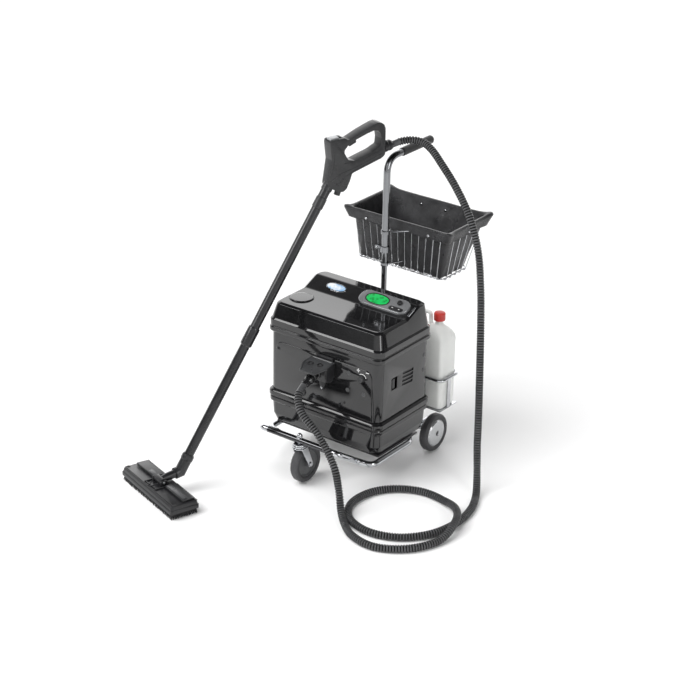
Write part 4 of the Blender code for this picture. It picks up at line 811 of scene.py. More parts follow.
def build_mid_housing():
    outer = [(0.008, LOWER_TOP + 0.0003), (0.008, SEAM - 0.0003)]
    inner = [(0.011, SEAM - 0.0003), (0.011, LOWER_TOP + 0.0003)]
    sections = [housing_loop(inset, z) for inset, z in outer + inner]
    cuts = []
    for number in range(4):
        z = 0.316 + number * 0.0126
        slot = block((0.19, -0.01, z - 0.0043), (0.24, 0.047, z + 0.0043))
        cuts.append(turned(slot, -4.0, ALONG_X, (0.21, 0.018, 0.335)))
    cuts.append(block((SIDE_X - 0.0035, -0.068, 0.318), (0.24, -0.038, 0.358)))
    cuts.append(lathe([(0.0135, 0.11), (0.0135, 0.15)], 24, (0.12, 0.0, 0.27), ALONG_Y))
    cuts.append(block((-0.008, -0.15, 0.338), (0.03, -0.11, 0.372)))
    piece("housing_middle", loft(sections, ring=True), "panel", "machine", ("mid_housing",),
          cuts=cuts, bevel=0.0007)
    backing = block((SIDE_X - 0.011, -0.022, 0.304), (SIDE_X - 0.0035, 0.058, 0.366))
    piece("vent_backing", backing, "satin", "machine")
    switch = block((SIDE_X - 0.0036, -0.064, 0.322), (SIDE_X - 0.0006, -0.05, 0.354), 0.0008)
    piece("side_switch", switch, "satin", "machine")


def build_hood():
    outer = soft_profile([(0.013, SEAM), (0.004, SEAM), (0.0002, SEAM + 0.004), (0.0002, SEAM + 0.015),
                          (0.0042, SEAM + 0.0185), (0.002, SEAM + 0.0225), (0.002, 0.468),
                          (0.0065, 0.4735), (0.0175, 0.5185), (0.025, HOOD_TOP), (0.032, HOOD_TOP)],
                         0.0035, 5)
    loops = [housing_loop(inset, z, CORNER if z < 0.5 else 0.022) for inset, z in outer]
    made = loft(loops)
    bottom = min(made.faces, key=lambda face: face.calc_center_median().z)
    made.faces.remove(bottom)
    cuts = []
    for crease in (CREASE_FRONT, CREASE_REAR):
        cuts += [crease + 0.0025 * step for step in (-2, -1, 0, 1, 2)]
    for y in cuts:
        geometry = list(made.verts) + list(made.edges) + list(made.faces)
        bmesh.ops.bisect_plane(made, geom=geometry, dist=1e-6, plane_co=(0.0, y, 0.0), plane_no=ALONG_Y)
    for vert in made.verts:
        share = min(1.0, max(0.0, (vert.co.z - 0.474) / (0.515 - 0.474)))
        vert.co.z += lift(vert.co.y) * share
    hood = piece("hood_shell", made, "gloss", "machine", ("hood",), smooth=30.0)
    thick = hood.modifiers.new("wall", "SOLIDIFY")
    thick.thickness = 0.0025
    thick.offset = -1.0
    cap = lathe(soft_profile([(0.0, -0.012), (0.028, -0.012), (0.028, 0.0006), (0.035, 0.0006),
                              (0.0372, 0.0016), (0.0362, 0.0032), (0.0335, 0.0038), (0.0, 0.0038)],
                             0.0006, 3), 64, (*FILLER, HOOD_TOP))
    piece("cap_disc", cap, "gloss", "filler_cap_body", ("filler_cap",))
    groove = lathe([(0.0376, 0.0001), (0.0388, 0.0008), (0.04, 0.0001)], 64, (*FILLER, HOOD_TOP),
                   ring=True)
    piece("cap_seat", groove, "satin", "machine")


def on_console(x, y, off=0.0):
    normal = Vector((0.0, -math.sin(SLOPE), math.cos(SLOPE)))
    return Vector((x, y,
                   HOOD_TOP + RISE * (y - CREASE_FRONT) / (CREASE_REAR - CREASE_FRONT))) + normal * off


def oval(half_x, half_y, count=56):
    """A flattened ring of points, squarer than an ellipse and rounder than a slot."""
    points = []
    for index in range(count):
        angle = 2.0 * math.pi * index / count
        wide = abs(math.cos(angle)) ** 0.86
        deep = abs(math.sin(angle)) ** 0.86
        points.append(Vector((math.copysign(wide, math.cos(angle)) * half_x,
                              math.copysign(deep, math.sin(angle)) * half_y, 0.0)))
    return points


def console_plate(x, y, rows, half_x, half_y, corner=None, segments=10):
    """A plate parallel to the console from (height, inset) rows, bottom up; oval without a corner."""
    turn = Matrix.Rotation(SLOPE, 3, "X")
    sections = []
    for height, inset in rows:
        if corner is None:
            loop = oval(half_x - inset, half_y - inset)
        else:
            loop = rounded_rectangle(half_x - inset, half_y - inset, max(corner - inset, 0.0004), 0.0,
                                     segments=segments)
        sections.append([on_console(x, y, height) + turn @ point for point in loop])
    return loft(sections)


def dome_rows(low, high, edge):
    """Rows of a plate whose top edge is rounded over."""
    rows = [(low, 0.0), (high - edge, 0.0)]
    for step in range(1, 5):
        angle = math.pi / 2.0 * step / 4.0
        rows.append((high - edge + edge * math.sin(angle), edge * (1.0 - math.cos(angle))))
    return rows


def build_console():
    top = 0.0085
    pod_y = 0.0535
    lens_x = 0.067
    normal = Vector((0.0, -math.sin(SLOPE), math.cos(SLOPE)))
    seat = console_plate(lens_x, pod_y, [(top - 0.0025, 0.0), (top + 0.02, 0.0)], 0.0408, 0.02)
    rocker_seat = console_plate(0.146, 0.039, [(top - 0.0065, 0.0), (top + 0.02, 0.0)], 0.0262, 0.0082,
                                0.008)
    knob_hole = lathe([(0.0045, -0.006), (0.0045, 0.02)], 20, on_console(0.146, 0.062, top), normal)
    pod = console_plate(0.092, pod_y, dome_rows(0.0003, top, 0.003), 0.092, 0.0295, 0.0275, 14)
    piece("pod_plate", pod, "pod", "machine", ("control_pod",), cuts=(seat, rocker_seat, knob_hole))
    turn = Matrix.Rotation(SLOPE, 3, "X")
    bezel = []
    for grow, height in ((0.0, -0.001), (0.0, 0.0012), (0.0024, 0.0012), (0.0032, -0.001)):
        loop = oval(0.0408 + grow, 0.02 + grow)
        bezel.append([on_console(lens_x, pod_y, top + height) + turn @ point for point in loop])
    piece("display_bezel", loft(bezel, ring=True), "satin", "machine", slot="black_satin")
    window = console_plate(lens_x, pod_y, dome_rows(top - 0.0021, top + 0.0008, 0.0008), 0.0402, 0.0194)
    piece("display_lens", window, "display", "machine", ("display_window",))
    knob = lathe(soft_profile([(0.0, -0.005), (0.0036, -0.005), (0.0036, 0.0003), (0.0092, 0.0003),
                               (0.0088, 0.006), (0.006, 0.0092), (0.0, 0.0098)], 0.001, 3),
                 40, on_console(0.146, 0.062, top), normal, scallop=0.05, lobes=12)
    piece("knob_cap", knob, "satin", "knob_body", ("mode_knob",))
    rocker = console_plate(0.146, 0.039, dome_rows(top - 0.003, top + 0.002, 0.0012), 0.025, 0.007,
                           0.0068)
    piece("rocker_cap", rocker, "satin", "rocker_body", ("rocker_switch",))
    marks = [console_plate(x, 0.039, [(top + 0.0018, 0.0), (top + 0.0024, 0.0)], 0.003, 0.0008, 0.0006, 3)
             for x in (0.134, 0.158)]
    piece("rocker_marks", merged(marks), "mark", "rocker_body")
    strips = [console_plate(x, 0.052, dome_rows(-0.001, 0.0022, 0.0008), 0.0011, 0.02, 0.001, 3)
              for x in (0.1935, 0.1972)]
    piece("console_strips", merged(strips), "chrome", "machine")
    rim = console_plate(-0.0954, 0.0542, dome_rows(-0.001, 0.0022, 0.0012), 0.038, 0.0165)
    piece("badge_rim", rim, "chrome", "machine")
    field = console_plate(-0.0954, 0.0542, dome_rows(0.0, 0.0027, 0.0008), 0.0345, 0.0132)
    piece("badge_field", field, "badge", "machine")


# ---------------------------------------------------------------- front
def build_front_panel():
    low = LOWER_TOP + 0.004
    top = 0.398
    outline = [(-0.188, low), (0.188, low), (0.186, 0.372)]
    for step in range(1, 16):
        angle = math.radians(90.0 * step / 16.0)
        outline.append((0.16 + 0.026 * math.cos(angle), 0.372 + (top - 0.372) * math.sin(angle)))
    outline += [(-x, z) for x, z in reversed(outline[2:])]
    normals = outline_normals(outline)
    sections = []
    for depth, inset in ((0.0003, 0.0), (0.0018, 0.0), (0.0025, 0.0007), (0.0028, 0.0018)):
        sections.append([Vector((x - nx * inset, FACE_Y - depth, z - nz * inset))
                         for (x, z), (nx, nz) in zip(outline, normals)])
    opening = block((-0.01, -0.15, 0.336), (0.032, -0.11, 0.374))
    dial_hole = lathe([(0.0045, -0.02), (0.0045, 0.02)], 20, (DIAL[0], FACE_Y, DIAL[1]), ALONG_Y)
    piece("panel_arch", loft(sections), "gloss", "machine", ("front_panel",), cuts=(opening, dial_hole))
    face = FACE_Y - PANEL_PROUD
    for number, (x, z) in enumerate(((-0.174, 0.375), (0.1, 0.372), (0.097, 0.313), (0.158, 0.315)),
                                    start=1):
        spot = face if number > 1 else FACE_Y - 0.0026
        plug = lathe(soft_profile([(0.0072, 0.0), (0.0072, 0.001), (0.0058, 0.0014), (0.005, 0.0006),
                                   (0.0, 0.0006)], 0.0003, 2), 28, (x, spot + 0.0004, z), FORWARD)
        piece(f"front_plug_{number}", plug, "plug", "machine")
    for number, (y, z) in enumerate(((0.105, 0.378), (0.103, 0.327)), start=1):
        plug = lathe(soft_profile([(0.0068, 0.0), (0.0068, 0.001), (0.0055, 0.0014), (0.0, 0.0014)],
                                  0.0003, 2), 28, (SIDE_X - 0.0004, y, z), ALONG_X)
        piece(f"side_plug_{number}", plug, "plug", "machine")
    screw_head((0.085, face, 0.265), FORWARD, 0.0042, "satin", "panel_screw")
    ring = lathe(soft_profile([(0.0085, 0.0), (0.0085, 0.0035), (0.0125, 0.0035), (0.0135, 0.0)], 0.0008,
                              3), 32, (-0.079, face + 0.0004, 0.251), FORWARD, ring=True)
    piece("spare_ring", ring, "satin", "machine")


def build_dial():
    face = FACE_Y - PANEL_PROUD
    centre = (DIAL[0], face, DIAL[1])
    profile = soft_profile([(0.0, 0.0135), (0.008, 0.0135), (0.0096, 0.011), (0.0104, 0.0003),
                            (0.0038, 0.0003), (0.0038, -0.0018), (0.0, -0.0018)], 0.0008, 3)
    knob = lathe(profile, 48, centre, FORWARD, scallop=0.06, lobes=14)
    piece("dial_knob", knob, "lid", "dial_body", ("steam_dial",))
    y = face - 0.0004
    marks = [block((0.13, y, 0.3905), (0.142, y + 0.0006, 0.3927)),
             block((0.1349, y, 0.3856), (0.1371, y + 0.0006, 0.3976)),
             block((0.164, y, 0.3905), (0.176, y + 0.0006, 0.3927))]
    arc = []
    for step in range(13):
        angle = math.radians(20.0 + 105.0 * step / 12.0)
        arc.append((DIAL[0] + 0.0155 * math.cos(angle), y, DIAL[1] + 0.0155 * math.sin(angle)))
    marks.append(sweep(arc, 0.001, 8))
    piece("dial_marks", merged(marks), "mark", "machine")


def build_socket():
    mount = FACE_Y - 0.0031
    outline = rounded_outline([(mount, 0.331), (mount, 0.384), (-0.15, 0.389), (-0.178, 0.383),
                               (-0.186, 0.362), (-0.176, 0.334), (-0.15, 0.327)], 0.004, 4)
    axis = (Vector(HOSE_ROUTE[-1]) - Vector(PLUG_ROOT)).normalized()
    bore = lathe([(0.0138, -0.028), (0.0138, 0.05)], 32, PLUG_ROOT, axis)
    piece("socket_block", prism(outline, -0.022, 0.044, 0.0035), "satin", "machine", ("socket_housing",),
          cuts=(bore,))
    mouth = lathe(soft_profile([(0.014, -0.006), (0.014, 0.003), (0.0185, 0.003), (0.02, 0.0),
                                (0.02, -0.006)], 0.001, 3), 40, Vector(PLUG_ROOT) + axis * 0.0005, axis,
                  ring=True)
    piece("socket_mouth", mouth, "gloss", "machine")
    ribs = [block((x - 0.0012, -0.18, 0.34), (x + 0.0012, mount, 0.3925), 0.0005)
            for x in (-0.0235, 0.0455)]
    ribs.append(block((-0.02, -0.1475, 0.384), (0.042, mount, 0.404), 0.002))
    piece("socket_ribs", merged(ribs), "satin", "machine")
    pin = lathe([(0.0022, -0.04), (0.0022, 0.042)], 16, FLAP_PIN, ALONG_X)
    piece("flap_pin", pin, "chrome", "flap_body")
    outline = rounded_outline([(-0.03, -0.151), (0.052, -0.151), (0.058, -0.192), (0.04, -0.238),
                               (-0.016, -0.238), (-0.036, -0.192)], 0.006, 5)
    normals = outline_normals(outline)
    sections = []
    for z, inset in ((0.3935, 0.0012), (0.3945, 0.0), (0.3975, 0.0), (0.3985, 0.0012), (0.3985, 0.0045),
                     (0.397, 0.006)):
        sections.append([Vector((x - nx * inset, y - ny * inset, z))
                         for (x, y), (nx, ny) in zip(outline, normals)])
    lid = turned(loft(sections), FLAP_SLOPE, ALONG_X, FLAP_PIN)
    piece("flap_lid", lid, "lid", "flap_body", ("socket_flap",))
    bosses = []
    for x, y in ((-0.008, -0.19), (0.024, -0.184)):
        boss = lathe(soft_profile([(0.0055, 0.0), (0.0055, 0.002), (0.0095, 0.002), (0.01, 0.0)], 0.0006,
                                  2), 28, (x, y, 0.3968), ring=True)
        bosses.append(turned(boss, FLAP_SLOPE, ALONG_X, FLAP_PIN))
    piece("flap_bosses", merged(bosses), "gloss", "flap_body")
    face = FACE_Y - PANEL_PROUD
    tab = rounded_outline([(-0.014, 0.334), (0.02, 0.334), (0.006, 0.286), (-0.004, 0.286)], 0.004, 4)
    sections = [[Vector((x, face - depth, z)) for x, z in tab] for depth in (-0.0005, 0.006)]
    piece("socket_tab", loft(sections), "satin", "machine", bevel=0.001)
    screw_head((0.001, face - 0.006, 0.294), FORWARD, 0.004, "chrome", "tab_screw")


# ---------------------------------------------------------------- trolley
def build_trolley():
    paths = []
    for side in (-1.0, 1.0):
        paths.append(soften([(side * 0.1223, FRONT_BAR_Y, FRONT_BAR_Z),
                             (side * 0.15, FRONT_BAR_Y, FRONT_BAR_Z), (side * 0.15, -0.152, RAIL_Z),
                             (side * 0.204, -0.148, RAIL_Z), (side * 0.204, 0.05, RAIL_Z),
                             (side * 0.16, 0.112, RAIL_Z), (side * 0.16, 0.224, RAIL_Z)], 0.03, 8))
    for name, side, path in (("left", -1.0, paths[0]), ("right", 1.0, paths[1])):
        plate = block((side * 0.16 - 0.0025, 0.184, 0.05), (side * 0.16 + 0.0025, 0.216, RAIL_Z), 0.0012)
        rail = merged([sweep(path, 0.01, 28), plate])
        piece(f"rail_tube_{name}", rail, "chrome", "machine", (f"rail_{name}",))
        end = lathe(soft_profile([(0.0, 0.003), (0.009, 0.003), (0.0102, 0.0), (0.0102, -0.004),
                                  (0.0, -0.004)], 0.001, 3), 28, (side * 0.16, 0.2243, RAIL_Z), ALONG_Y)
        piece(f"rail_cap_{name}", end, "rubber", "machine")
    bar = sweep([(-0.122, FRONT_BAR_Y, FRONT_BAR_Z), (0.122, FRONT_BAR_Y, FRONT_BAR_Z)], 0.01, 32)
    piece("bar_tube", bar, "bar", "machine", ("front_bar",))
    cross = sweep([(-0.1497, POST_Y, RAIL_Z), (0.1497, POST_Y, RAIL_Z)], 0.01, 32)
    sleeve = lathe([(0.0096, 0.106), (0.0096, 0.16), (0.0135, 0.16), (0.0135, 0.09)], 32,
                   (0.0, POST_Y, 0.0), ring=True)
    piece("cross_bar", merged([cross, sleeve]), "chrome", "machine", ("cross_tube",))
    dress("deck_plate", "satin", 0.001)
    dress("rear_axle", "steel")


def tyre_profile(inner, width):
    half = width / 2.0
    return soft_profile([(inner, -half + 0.003), (WHEEL_RADIUS - 0.012, -half),
                         (WHEEL_RADIUS - 0.004, -half + 0.001), (WHEEL_RADIUS, -half + 0.0075),
                         (WHEEL_RADIUS, half - 0.0075), (WHEEL_RADIUS - 0.004, half - 0.001),
                         (WHEEL_RADIUS - 0.012, half), (inner, half - 0.003)], 0.003, 4)


def build_rear_wheels():
    for side, name in ((-1.0, "left"), (1.0, "right")):
        centre = (side * 0.1955, 0.2, AXLE_Z + 0.0001)
        body = f"rear_wheel_{name}"
        profile = [(min(radius, AXLE_Z), height) for radius, height in tyre_profile(0.0455, 0.03)]
        tyre = lathe(profile, 96, centre, (side, 0.0, 0.0), ring=True)
        piece(f"tyre_{name}", tyre, "tyre", body, (f"rear_tyre_{name}",))
        cap = soft_profile([
            (0.007, -0.012), (0.014, -0.012), (0.014, -0.006), (0.0398, -0.006), (0.0425, -0.009),
            (0.045, -0.009), (0.045, 0.011), (0.0436, 0.0128), (0.0425, 0.0118), (0.0405, 0.0148),
            (0.03, 0.0165), (0.016, 0.0172), (0.009, 0.0176), (0.0075, 0.015)], 0.001, 3)
        piece(f"hubcap_{name}", lathe(cap, 72, centre, (side, 0.0, 0.0), ring=True), "hubcap", body,
              (f"rear_hub_{name}",))
        nub = lathe(soft_profile([(0.0, 0.0135), (0.006, 0.0135), (0.0072, 0.012), (0.0072, 0.01),
                                  (0.0, 0.01)], 0.0008, 2), 28, centre, (side, 0.0, 0.0))
        piece(f"hub_centre_{name}", nub, "satin", body)


def build_caster():
    top = FRONT_BAR_Z + 0.01
    bottom = FRONT_BAR_Z - 0.01
    stem = (0.0, FRONT_BAR_Y, 0.0)
    bolt = lathe(soft_profile([(0.0, top + 0.015), (0.005, top + 0.014), (0.0082, top + 0.009),
                               (0.0086, top - 0.0005), (0.005, top - 0.0005), (0.005, bottom),
                               (0.0185, bottom - 0.0004), (0.019, bottom - 0.0048),
                               (0.0212, bottom - 0.0056), (0.0215, bottom - 0.01),
                               (0.019, bottom - 0.0105), (0.0, bottom - 0.0105)], 0.0008, 3), 48, stem)
    piece("caster_bolt", bolt, "chrome", "machine", ("caster_stem",))
    nut = lathe([(0.01, top - 0.0008), (0.01, top + 0.006), (0.0092, top + 0.0068), (0.0, top + 0.0068)],
                6, stem)
    piece("caster_nut", nut, "chrome", "machine", bevel=0.0005)
    crown_top = bottom - 0.0108
    crown = lathe(soft_profile([(0.0, crown_top), (0.0205, crown_top), (0.0226, crown_top - 0.0015),
                                (0.022, 0.1272), (0.0, 0.1272)], 0.0008, 3), 48, stem)
    hub_y = FRONT_BAR_Y + 0.031
    legs = []
    for side in (-1.0, 1.0):
        outline = rounded_outline([(FRONT_BAR_Y - 0.013, 0.1296), (FRONT_BAR_Y + 0.015, 0.1296),
                                   (FRONT_BAR_Y + 0.024, 0.11), (hub_y + 0.011, AXLE_Z + 0.004),
                                   (hub_y + 0.007, AXLE_Z - 0.0092), (hub_y - 0.007, AXLE_Z - 0.0092),
                                   (hub_y - 0.011, AXLE_Z + 0.004), (FRONT_BAR_Y - 0.001, 0.104)], 0.005,
                                  4)
        low, high = sorted((side * 0.0178, side * 0.0206))
        legs.append(prism(outline, low, high, 0.0006))
    axle = lathe(soft_profile([(0.0, -0.0258), (0.005, -0.0258), (0.0075, -0.024), (0.0075, -0.0204),
                               (0.0045, -0.0204), (0.0045, 0.0204), (0.0075, 0.0204), (0.0075, 0.024),
                               (0.005, 0.0245), (0.0, 0.0245)], 0.0006, 2), 24, (0.0, hub_y, AXLE_Z),
                 ALONG_X)
    piece("caster_yoke", merged([crown, *legs, axle]), "chrome", "caster_swivel_body", ("caster_fork",))
    centre = (0.0, hub_y, AXLE_Z + 0.0001)
    profile = [(min(radius, AXLE_Z), height) for radius, height in tyre_profile(0.0455, 0.03)]
    tyre = lathe(profile, 96, centre, ALONG_X, ring=True)
    piece("caster_rubber", tyre, "tyre", "caster_wheel", ("caster_tyre",))
    web = soft_profile([(0.0052, -0.0155), (0.013, -0.0155), (0.014, -0.006), (0.039, -0.006),
                        (0.042, -0.0105), (0.045, -0.0105), (0.045, 0.0105), (0.042, 0.0105),
                        (0.039, 0.006), (0.014, 0.006), (0.013, 0.0155), (0.0052, 0.0155)], 0.001, 3)
    piece("caster_disc", lathe(web, 72, centre, ALONG_X, ring=True), "hub", "caster_wheel",
          ("caster_hub",))


# ---------------------------------------------------------------- push post and hangers
def build_post():
    lower = lathe([(0.009, 0.1043), (0.009, 0.6557)], 36, (0.0, POST_Y, 0.0))
    piece("post_tube", lower, "post", "machine", ("post_lower",))
    path = soften([(0.0, POST_Y, POST_SPLIT_Z), (0.0, POST_Y, HANDLE_Z), (0.0, 0.406, HANDLE_Z)], 0.052,
                  14)
    piece("handle_tube", sweep(path, 0.011, 36), "post", "machine", ("push_post",))
    clamp = lathe(soft_profile([(0.0114, 0.647), (0.0114, 0.667), (0.0142, 0.667), (0.0142, 0.647)],
                               0.001, 3), 40, (0.0, POST_Y, 0.0), ring=True)
    ear = block((-0.036, POST_Y - 0.005, 0.65), (-0.0125, POST_Y + 0.005, 0.664), 0.0015)
    piece("clamp_ring", merged([clamp, ear]), "post", "machine", ("post_clamp",))
    screw_head((-0.0275, POST_Y - 0.005, 0.657), FORWARD, 0.0045, "steel", "clamp_screw")
    profile = soft_profile([
        (0.0, 0.41), (0.0115, 0.41), (0.0115, 0.252), (0.0128, 0.252), (0.0135, 0.256), (0.0135, 0.402),
        (0.0135, 0.409), (0.0105, 0.414), (0.0, 0.414)], 0.0012, 3)
    piece("grip_sleeve", lathe(profile, 40, (0.0, 0.0, HANDLE_Z), ALONG_Y), "rubber", "machine",
          ("handle_grip",))


def build_hangers():
    low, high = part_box("basket_hanger")
    height = (low.z + high.z) / 2.0
    for name, z, bore, half, rear in (("basket_hanger", height, 0.0116, 0.052, 0.2275),
                                      ("basket_rest", BASKET_REST_Z, 0.0096, 0.03, 0.2305)):
        ring = lathe(soft_profile([(bore, z - 0.006), (bore, z + 0.006), (bore + 0.0026, z + 0.006),
                                   (bore + 0.0026, z - 0.006)], 0.001, 2), 36, (0.0, POST_Y, 0.0),
                     ring=True)
        front = POST_Y + bore + 0.005
        rod = sweep(soften([(-half, rear, z), (-half * 0.4, front, z), (half * 0.4, front, z),
                            (half, rear, z)], 0.008, 6), 0.0026, 16)
        piece(name + "_rods", merged([ring, rod]), "post", "machine", (name,))


# ---------------------------------------------------------------- basket
BASKET_LOW = (0.166, 0.072, 0.33, 0.567)     # half x, half y, centre y, z
BASKET_HIGH = (0.192, 0.112, 0.357, 0.727)


def basket_at(share):
    return [low + (high - low) * share for low, high in zip(BASKET_LOW, BASKET_HIGH)]


def basket_loop(share, offset, lift_z=0.0, segments=5, corner=0.018):
    half_x, half_y, centre_y, z = basket_at(share)
    return rounded_rectangle(half_x + offset, half_y + offset, max(0.004, corner + offset * 0.5),
                             z + lift_z, (0.0, centre_y), segments)


def hoop(corners, radius):
    """Round wire bent into a level closed loop."""
    count = len(corners)
    sections = []
    for index, point in enumerate(corners):
        tangent = (corners[(index + 1) % count] - corners[index - 1]).normalized()
        out = tangent.cross(Vector((0.0, 0.0, 1.0)))
        sections.append([point + (out * math.cos(a) + Vector((0.0, 0.0, 1.0)) * math.sin(a)) * radius
                         for a in [2.0 * math.pi * corner / 10.0 for corner in range(10)]])
    return loft(sections, ring=True)


def build_basket():
    wire = 0.00125
    shapes = [hoop(basket_loop(1.0, 0.0), 0.0028), hoop(basket_loop(0.0, 0.0), 0.0022)]
    low_x, low_y, low_centre, low_z = BASKET_LOW
    top_x, top_y, top_centre, top_z = BASKET_HIGH
    out = 0.003
    drop = low_z - 0.0034
    for number in range(-6, 7):
        at = number * 0.0245
        path = [(at * 1.13, top_centre - top_y - out, top_z), (at, low_centre - low_y - out, drop),
                (at, low_centre + low_y + out, drop), (at * 1.13, top_centre + top_y + out, top_z)]
        shapes.append(sweep(soften(path, 0.006, 4), wire, 8))
    for number in range(-2, 3):
        at = number * 0.0265
        path = [(-top_x - out, top_centre + at * 1.5, top_z),
                (-low_x - out, low_centre + at, drop - 0.0018),
                (low_x + out, low_centre + at, drop - 0.0018),
                (top_x + out, top_centre + at * 1.5, top_z)]
        shapes.append(sweep(soften(path, 0.006, 4), wire, 8))
    piece("basket_wires", merged(shapes), "chrome", "basket", ("basket_wire",))


def liner_sag(point, depth):
    """Small folds in the cloth, from seeded noise, as deep as the depth it is given."""
    wave = noise.noise(Vector((point.x * 26.0, point.y * 26.0, point.z * 14.0)))
    fine = noise.noise(Vector((point.x * 70.0 + 5.0, point.y * 70.0, point.z * 34.0)))
    return depth * (0.7 * wave + 0.3 * fine)


def build_liner():
    """A tub of coated cloth inside the wires, folded out over the rim into a hanging flap."""
    rows = []
    inner = -0.0066
    for step in range(13):
        rows.append((0.02 + 0.98 * step / 12.0, inner, 0.0, 0.013 - 0.0085 * step / 12.0))
    rows += [(1.0, inner + 0.001, 0.004, 0.0006), (1.0, -0.003, 0.0062, 0.0004),
             (1.0, 0.002, 0.0066, 0.0004), (1.0, 0.0052, 0.0042, 0.0004)]
    for step in range(9):
        share = 1.0 - 0.15 * step / 8.0
        rows.append((share, 0.0062 + 0.0012 * step / 8.0, 0.0, 0.0008 + 0.003 * step / 8.0))
    sections = []
    for share, offset, lift_z, depth in rows:
        loop = basket_loop(share, offset, lift_z, segments=4, corner=0.012 if offset < 0.0 else 0.004)
        dense = resample(loop, 132)
        half_x, half_y, centre_y, z = basket_at(share)
        section = []
        for point in dense:
            outward = Vector((point.x / half_x, (point.y - centre_y) / half_y, 0.0)).normalized()
            hem = 0.006 * max(0.0, offset - 0.0062) / 0.0012
            droop = hem * (0.5 + 0.5 * math.sin(point.x * 70.0 + point.y * 55.0))
            nearness = min(1.0, abs(point.x / half_x * (point.y - centre_y) / half_y)) ** 12
            flare = nearness * max(0.0, share - 0.85) / 0.15 if offset > 0.0 else 0.0
            moved = point + outward * (min(0.0012, liner_sag(point, depth)) + 0.012 * flare)
            section.append(moved + Vector((0.0, 0.0, 0.006 * flare - droop * 0.4)))
        sections.append(section)
    made = bmesh.new()
    loops = [[made.verts.new(point) for point in section] for section in sections]
    for lower, upper in zip(loops, loops[1:]):
        count = len(lower)
        for index in range(count):
            after = (index + 1) % count
            made.faces.new((lower[index], lower[after], upper[after], upper[index]))
    centre = sum((vert.co for vert in loops[0]), Vector()) / len(loops[0])
    middle = loops[0]
    for share in (0.85, 0.65, 0.45, 0.25):
        ring = []
        for vert in loops[0]:
            point = centre.lerp(vert.co, share)
            point.z += 0.0006 + liner_sag(point, 0.0012)
            ring.append(made.verts.new(point))
        count = len(ring)
        for index in range(count):
            after = (index + 1) % count
            made.faces.new((ring[index], ring[after], middle[after], middle[index]))
        middle = ring
    made.faces.new(list(reversed(middle)))
    liner = piece("liner_tub", made, "vinyl", "basket", ("basket_liner",), smooth=70.0)
    thick = liner.modifiers.new("cloth", "SOLIDIFY")
    thick.thickness = 0.001
    thick.offset = 0.0
    hem = piece("liner_hem", hoop(sections[-1], 0.0009), "vinyl", "basket")
    snaps = []
    half_x, half_y, centre_y, z = basket_at(0.9)
    for x, y, axis in ((-0.12, centre_y - half_y - 0.0078, FORWARD),
                       (0.12, centre_y - half_y - 0.0078, FORWARD),
                       (-0.12, centre_y + half_y + 0.0078, ALONG_Y),
                       (0.12, centre_y + half_y + 0.0078, ALONG_Y), (half_x + 0.0078, centre_y, ALONG_X),
                       (-half_x - 0.0078, centre_y, (-1.0, 0.0, 0.0))):
        snaps.append(lathe([(0.0048, 0.0), (0.0045, 0.0012), (0.003, 0.0022), (0.0, 0.0026)], 20,
                           (x, y, z), axis))
    for x in (-0.055, 0.04):
        snaps.append(lathe([(0.0048, 0.0), (0.0045, 0.0012), (0.003, 0.0022), (0.0, 0.0026)], 20,
                           (x, centre_y + half_y - 0.0085, z), FORWARD))
    studs = piece("liner_snaps", merged(snaps), "chrome", "basket")


def resample(loop, count):
    """Even points round a closed loop."""
    closed = loop + [loop[0]]
    lengths = [0.0]
    for before, after in zip(closed, closed[1:]):
        lengths.append(lengths[-1] + (after - before).length)
    points = []
    index = 0
    for step in range(count):
        wanted = lengths[-1] * step / count
        while lengths[index + 1] < wanted:
            index += 1
        share = (wanted - lengths[index]) / max(1e-9, lengths[index + 1] - lengths[index])
        points.append(closed[index].lerp(closed[index + 1], share))
    return points


# ---------------------------------------------------------------- bottle
def build_bottle():
    centre_x, centre_y = 0.165, 0.225
    half_x, half_y = 0.063, 0.042
    neck_x = centre_x + 0.02
    shoulder = 0.409
    rows = [(half_x - 0.006, half_y - 0.006, 0.012, 0.156, centre_x),
            (half_x - 0.0015, half_y - 0.0015, 0.014, 0.158, centre_x),
            (half_x, half_y, 0.014, 0.164, centre_x), (half_x, half_y, 0.014, 0.25, centre_x),
            (half_x, half_y, 0.014, shoulder - 0.025, centre_x),
            (half_x - 0.001, half_y - 0.001, 0.015, shoulder - 0.012, centre_x),
            (half_x - 0.006, half_y - 0.005, 0.018, shoulder, centre_x),
            (half_x - 0.016, half_y - 0.01, 0.022, shoulder + 0.009, centre_x + 0.004),
            (0.036, 0.026, 0.0255, shoulder + 0.015, centre_x + 0.009),
            (0.023, 0.0195, 0.019, shoulder + 0.021, neck_x - 0.004),
            (0.015, 0.0145, 0.0142, shoulder + 0.024, neck_x),
            (0.0128, 0.0128, 0.0127, shoulder + 0.026, neck_x),
            (0.0125, 0.0125, 0.0124, shoulder + 0.048, neck_x)]
    sections = [rounded_rectangle(hx, hy, r, z, (x, centre_y), 10) for hx, hy, r, z, x in rows]
    handle = sweep(soften([(centre_x - 0.01, centre_y, shoulder - 0.004),
                           (centre_x - 0.014, centre_y, shoulder + 0.056),
                           (centre_x - 0.036, centre_y, shoulder + 0.056),
                           (centre_x - 0.048, centre_y, shoulder - 0.01)], 0.012, 8), 0.0065, 20)
    piece("bottle_body_shell", merged([loft(sections), handle]), "bottle", "bottle_body", ("bottle",),
          smooth=50.0)
    cap = lathe(soft_profile([(0.0, 0.4575), (0.0131, 0.4575), (0.0131, 0.448), (0.0183, 0.448),
                              (0.0185, 0.452), (0.0185, 0.47), (0.0168, 0.4735), (0.0, 0.474)], 0.0012,
                             3), 72, (neck_x, centre_y, 0.0), scallop=0.045, lobes=24)
    piece("cap_red", cap, "red", "bottle_cap_body", ("bottle_cap",))


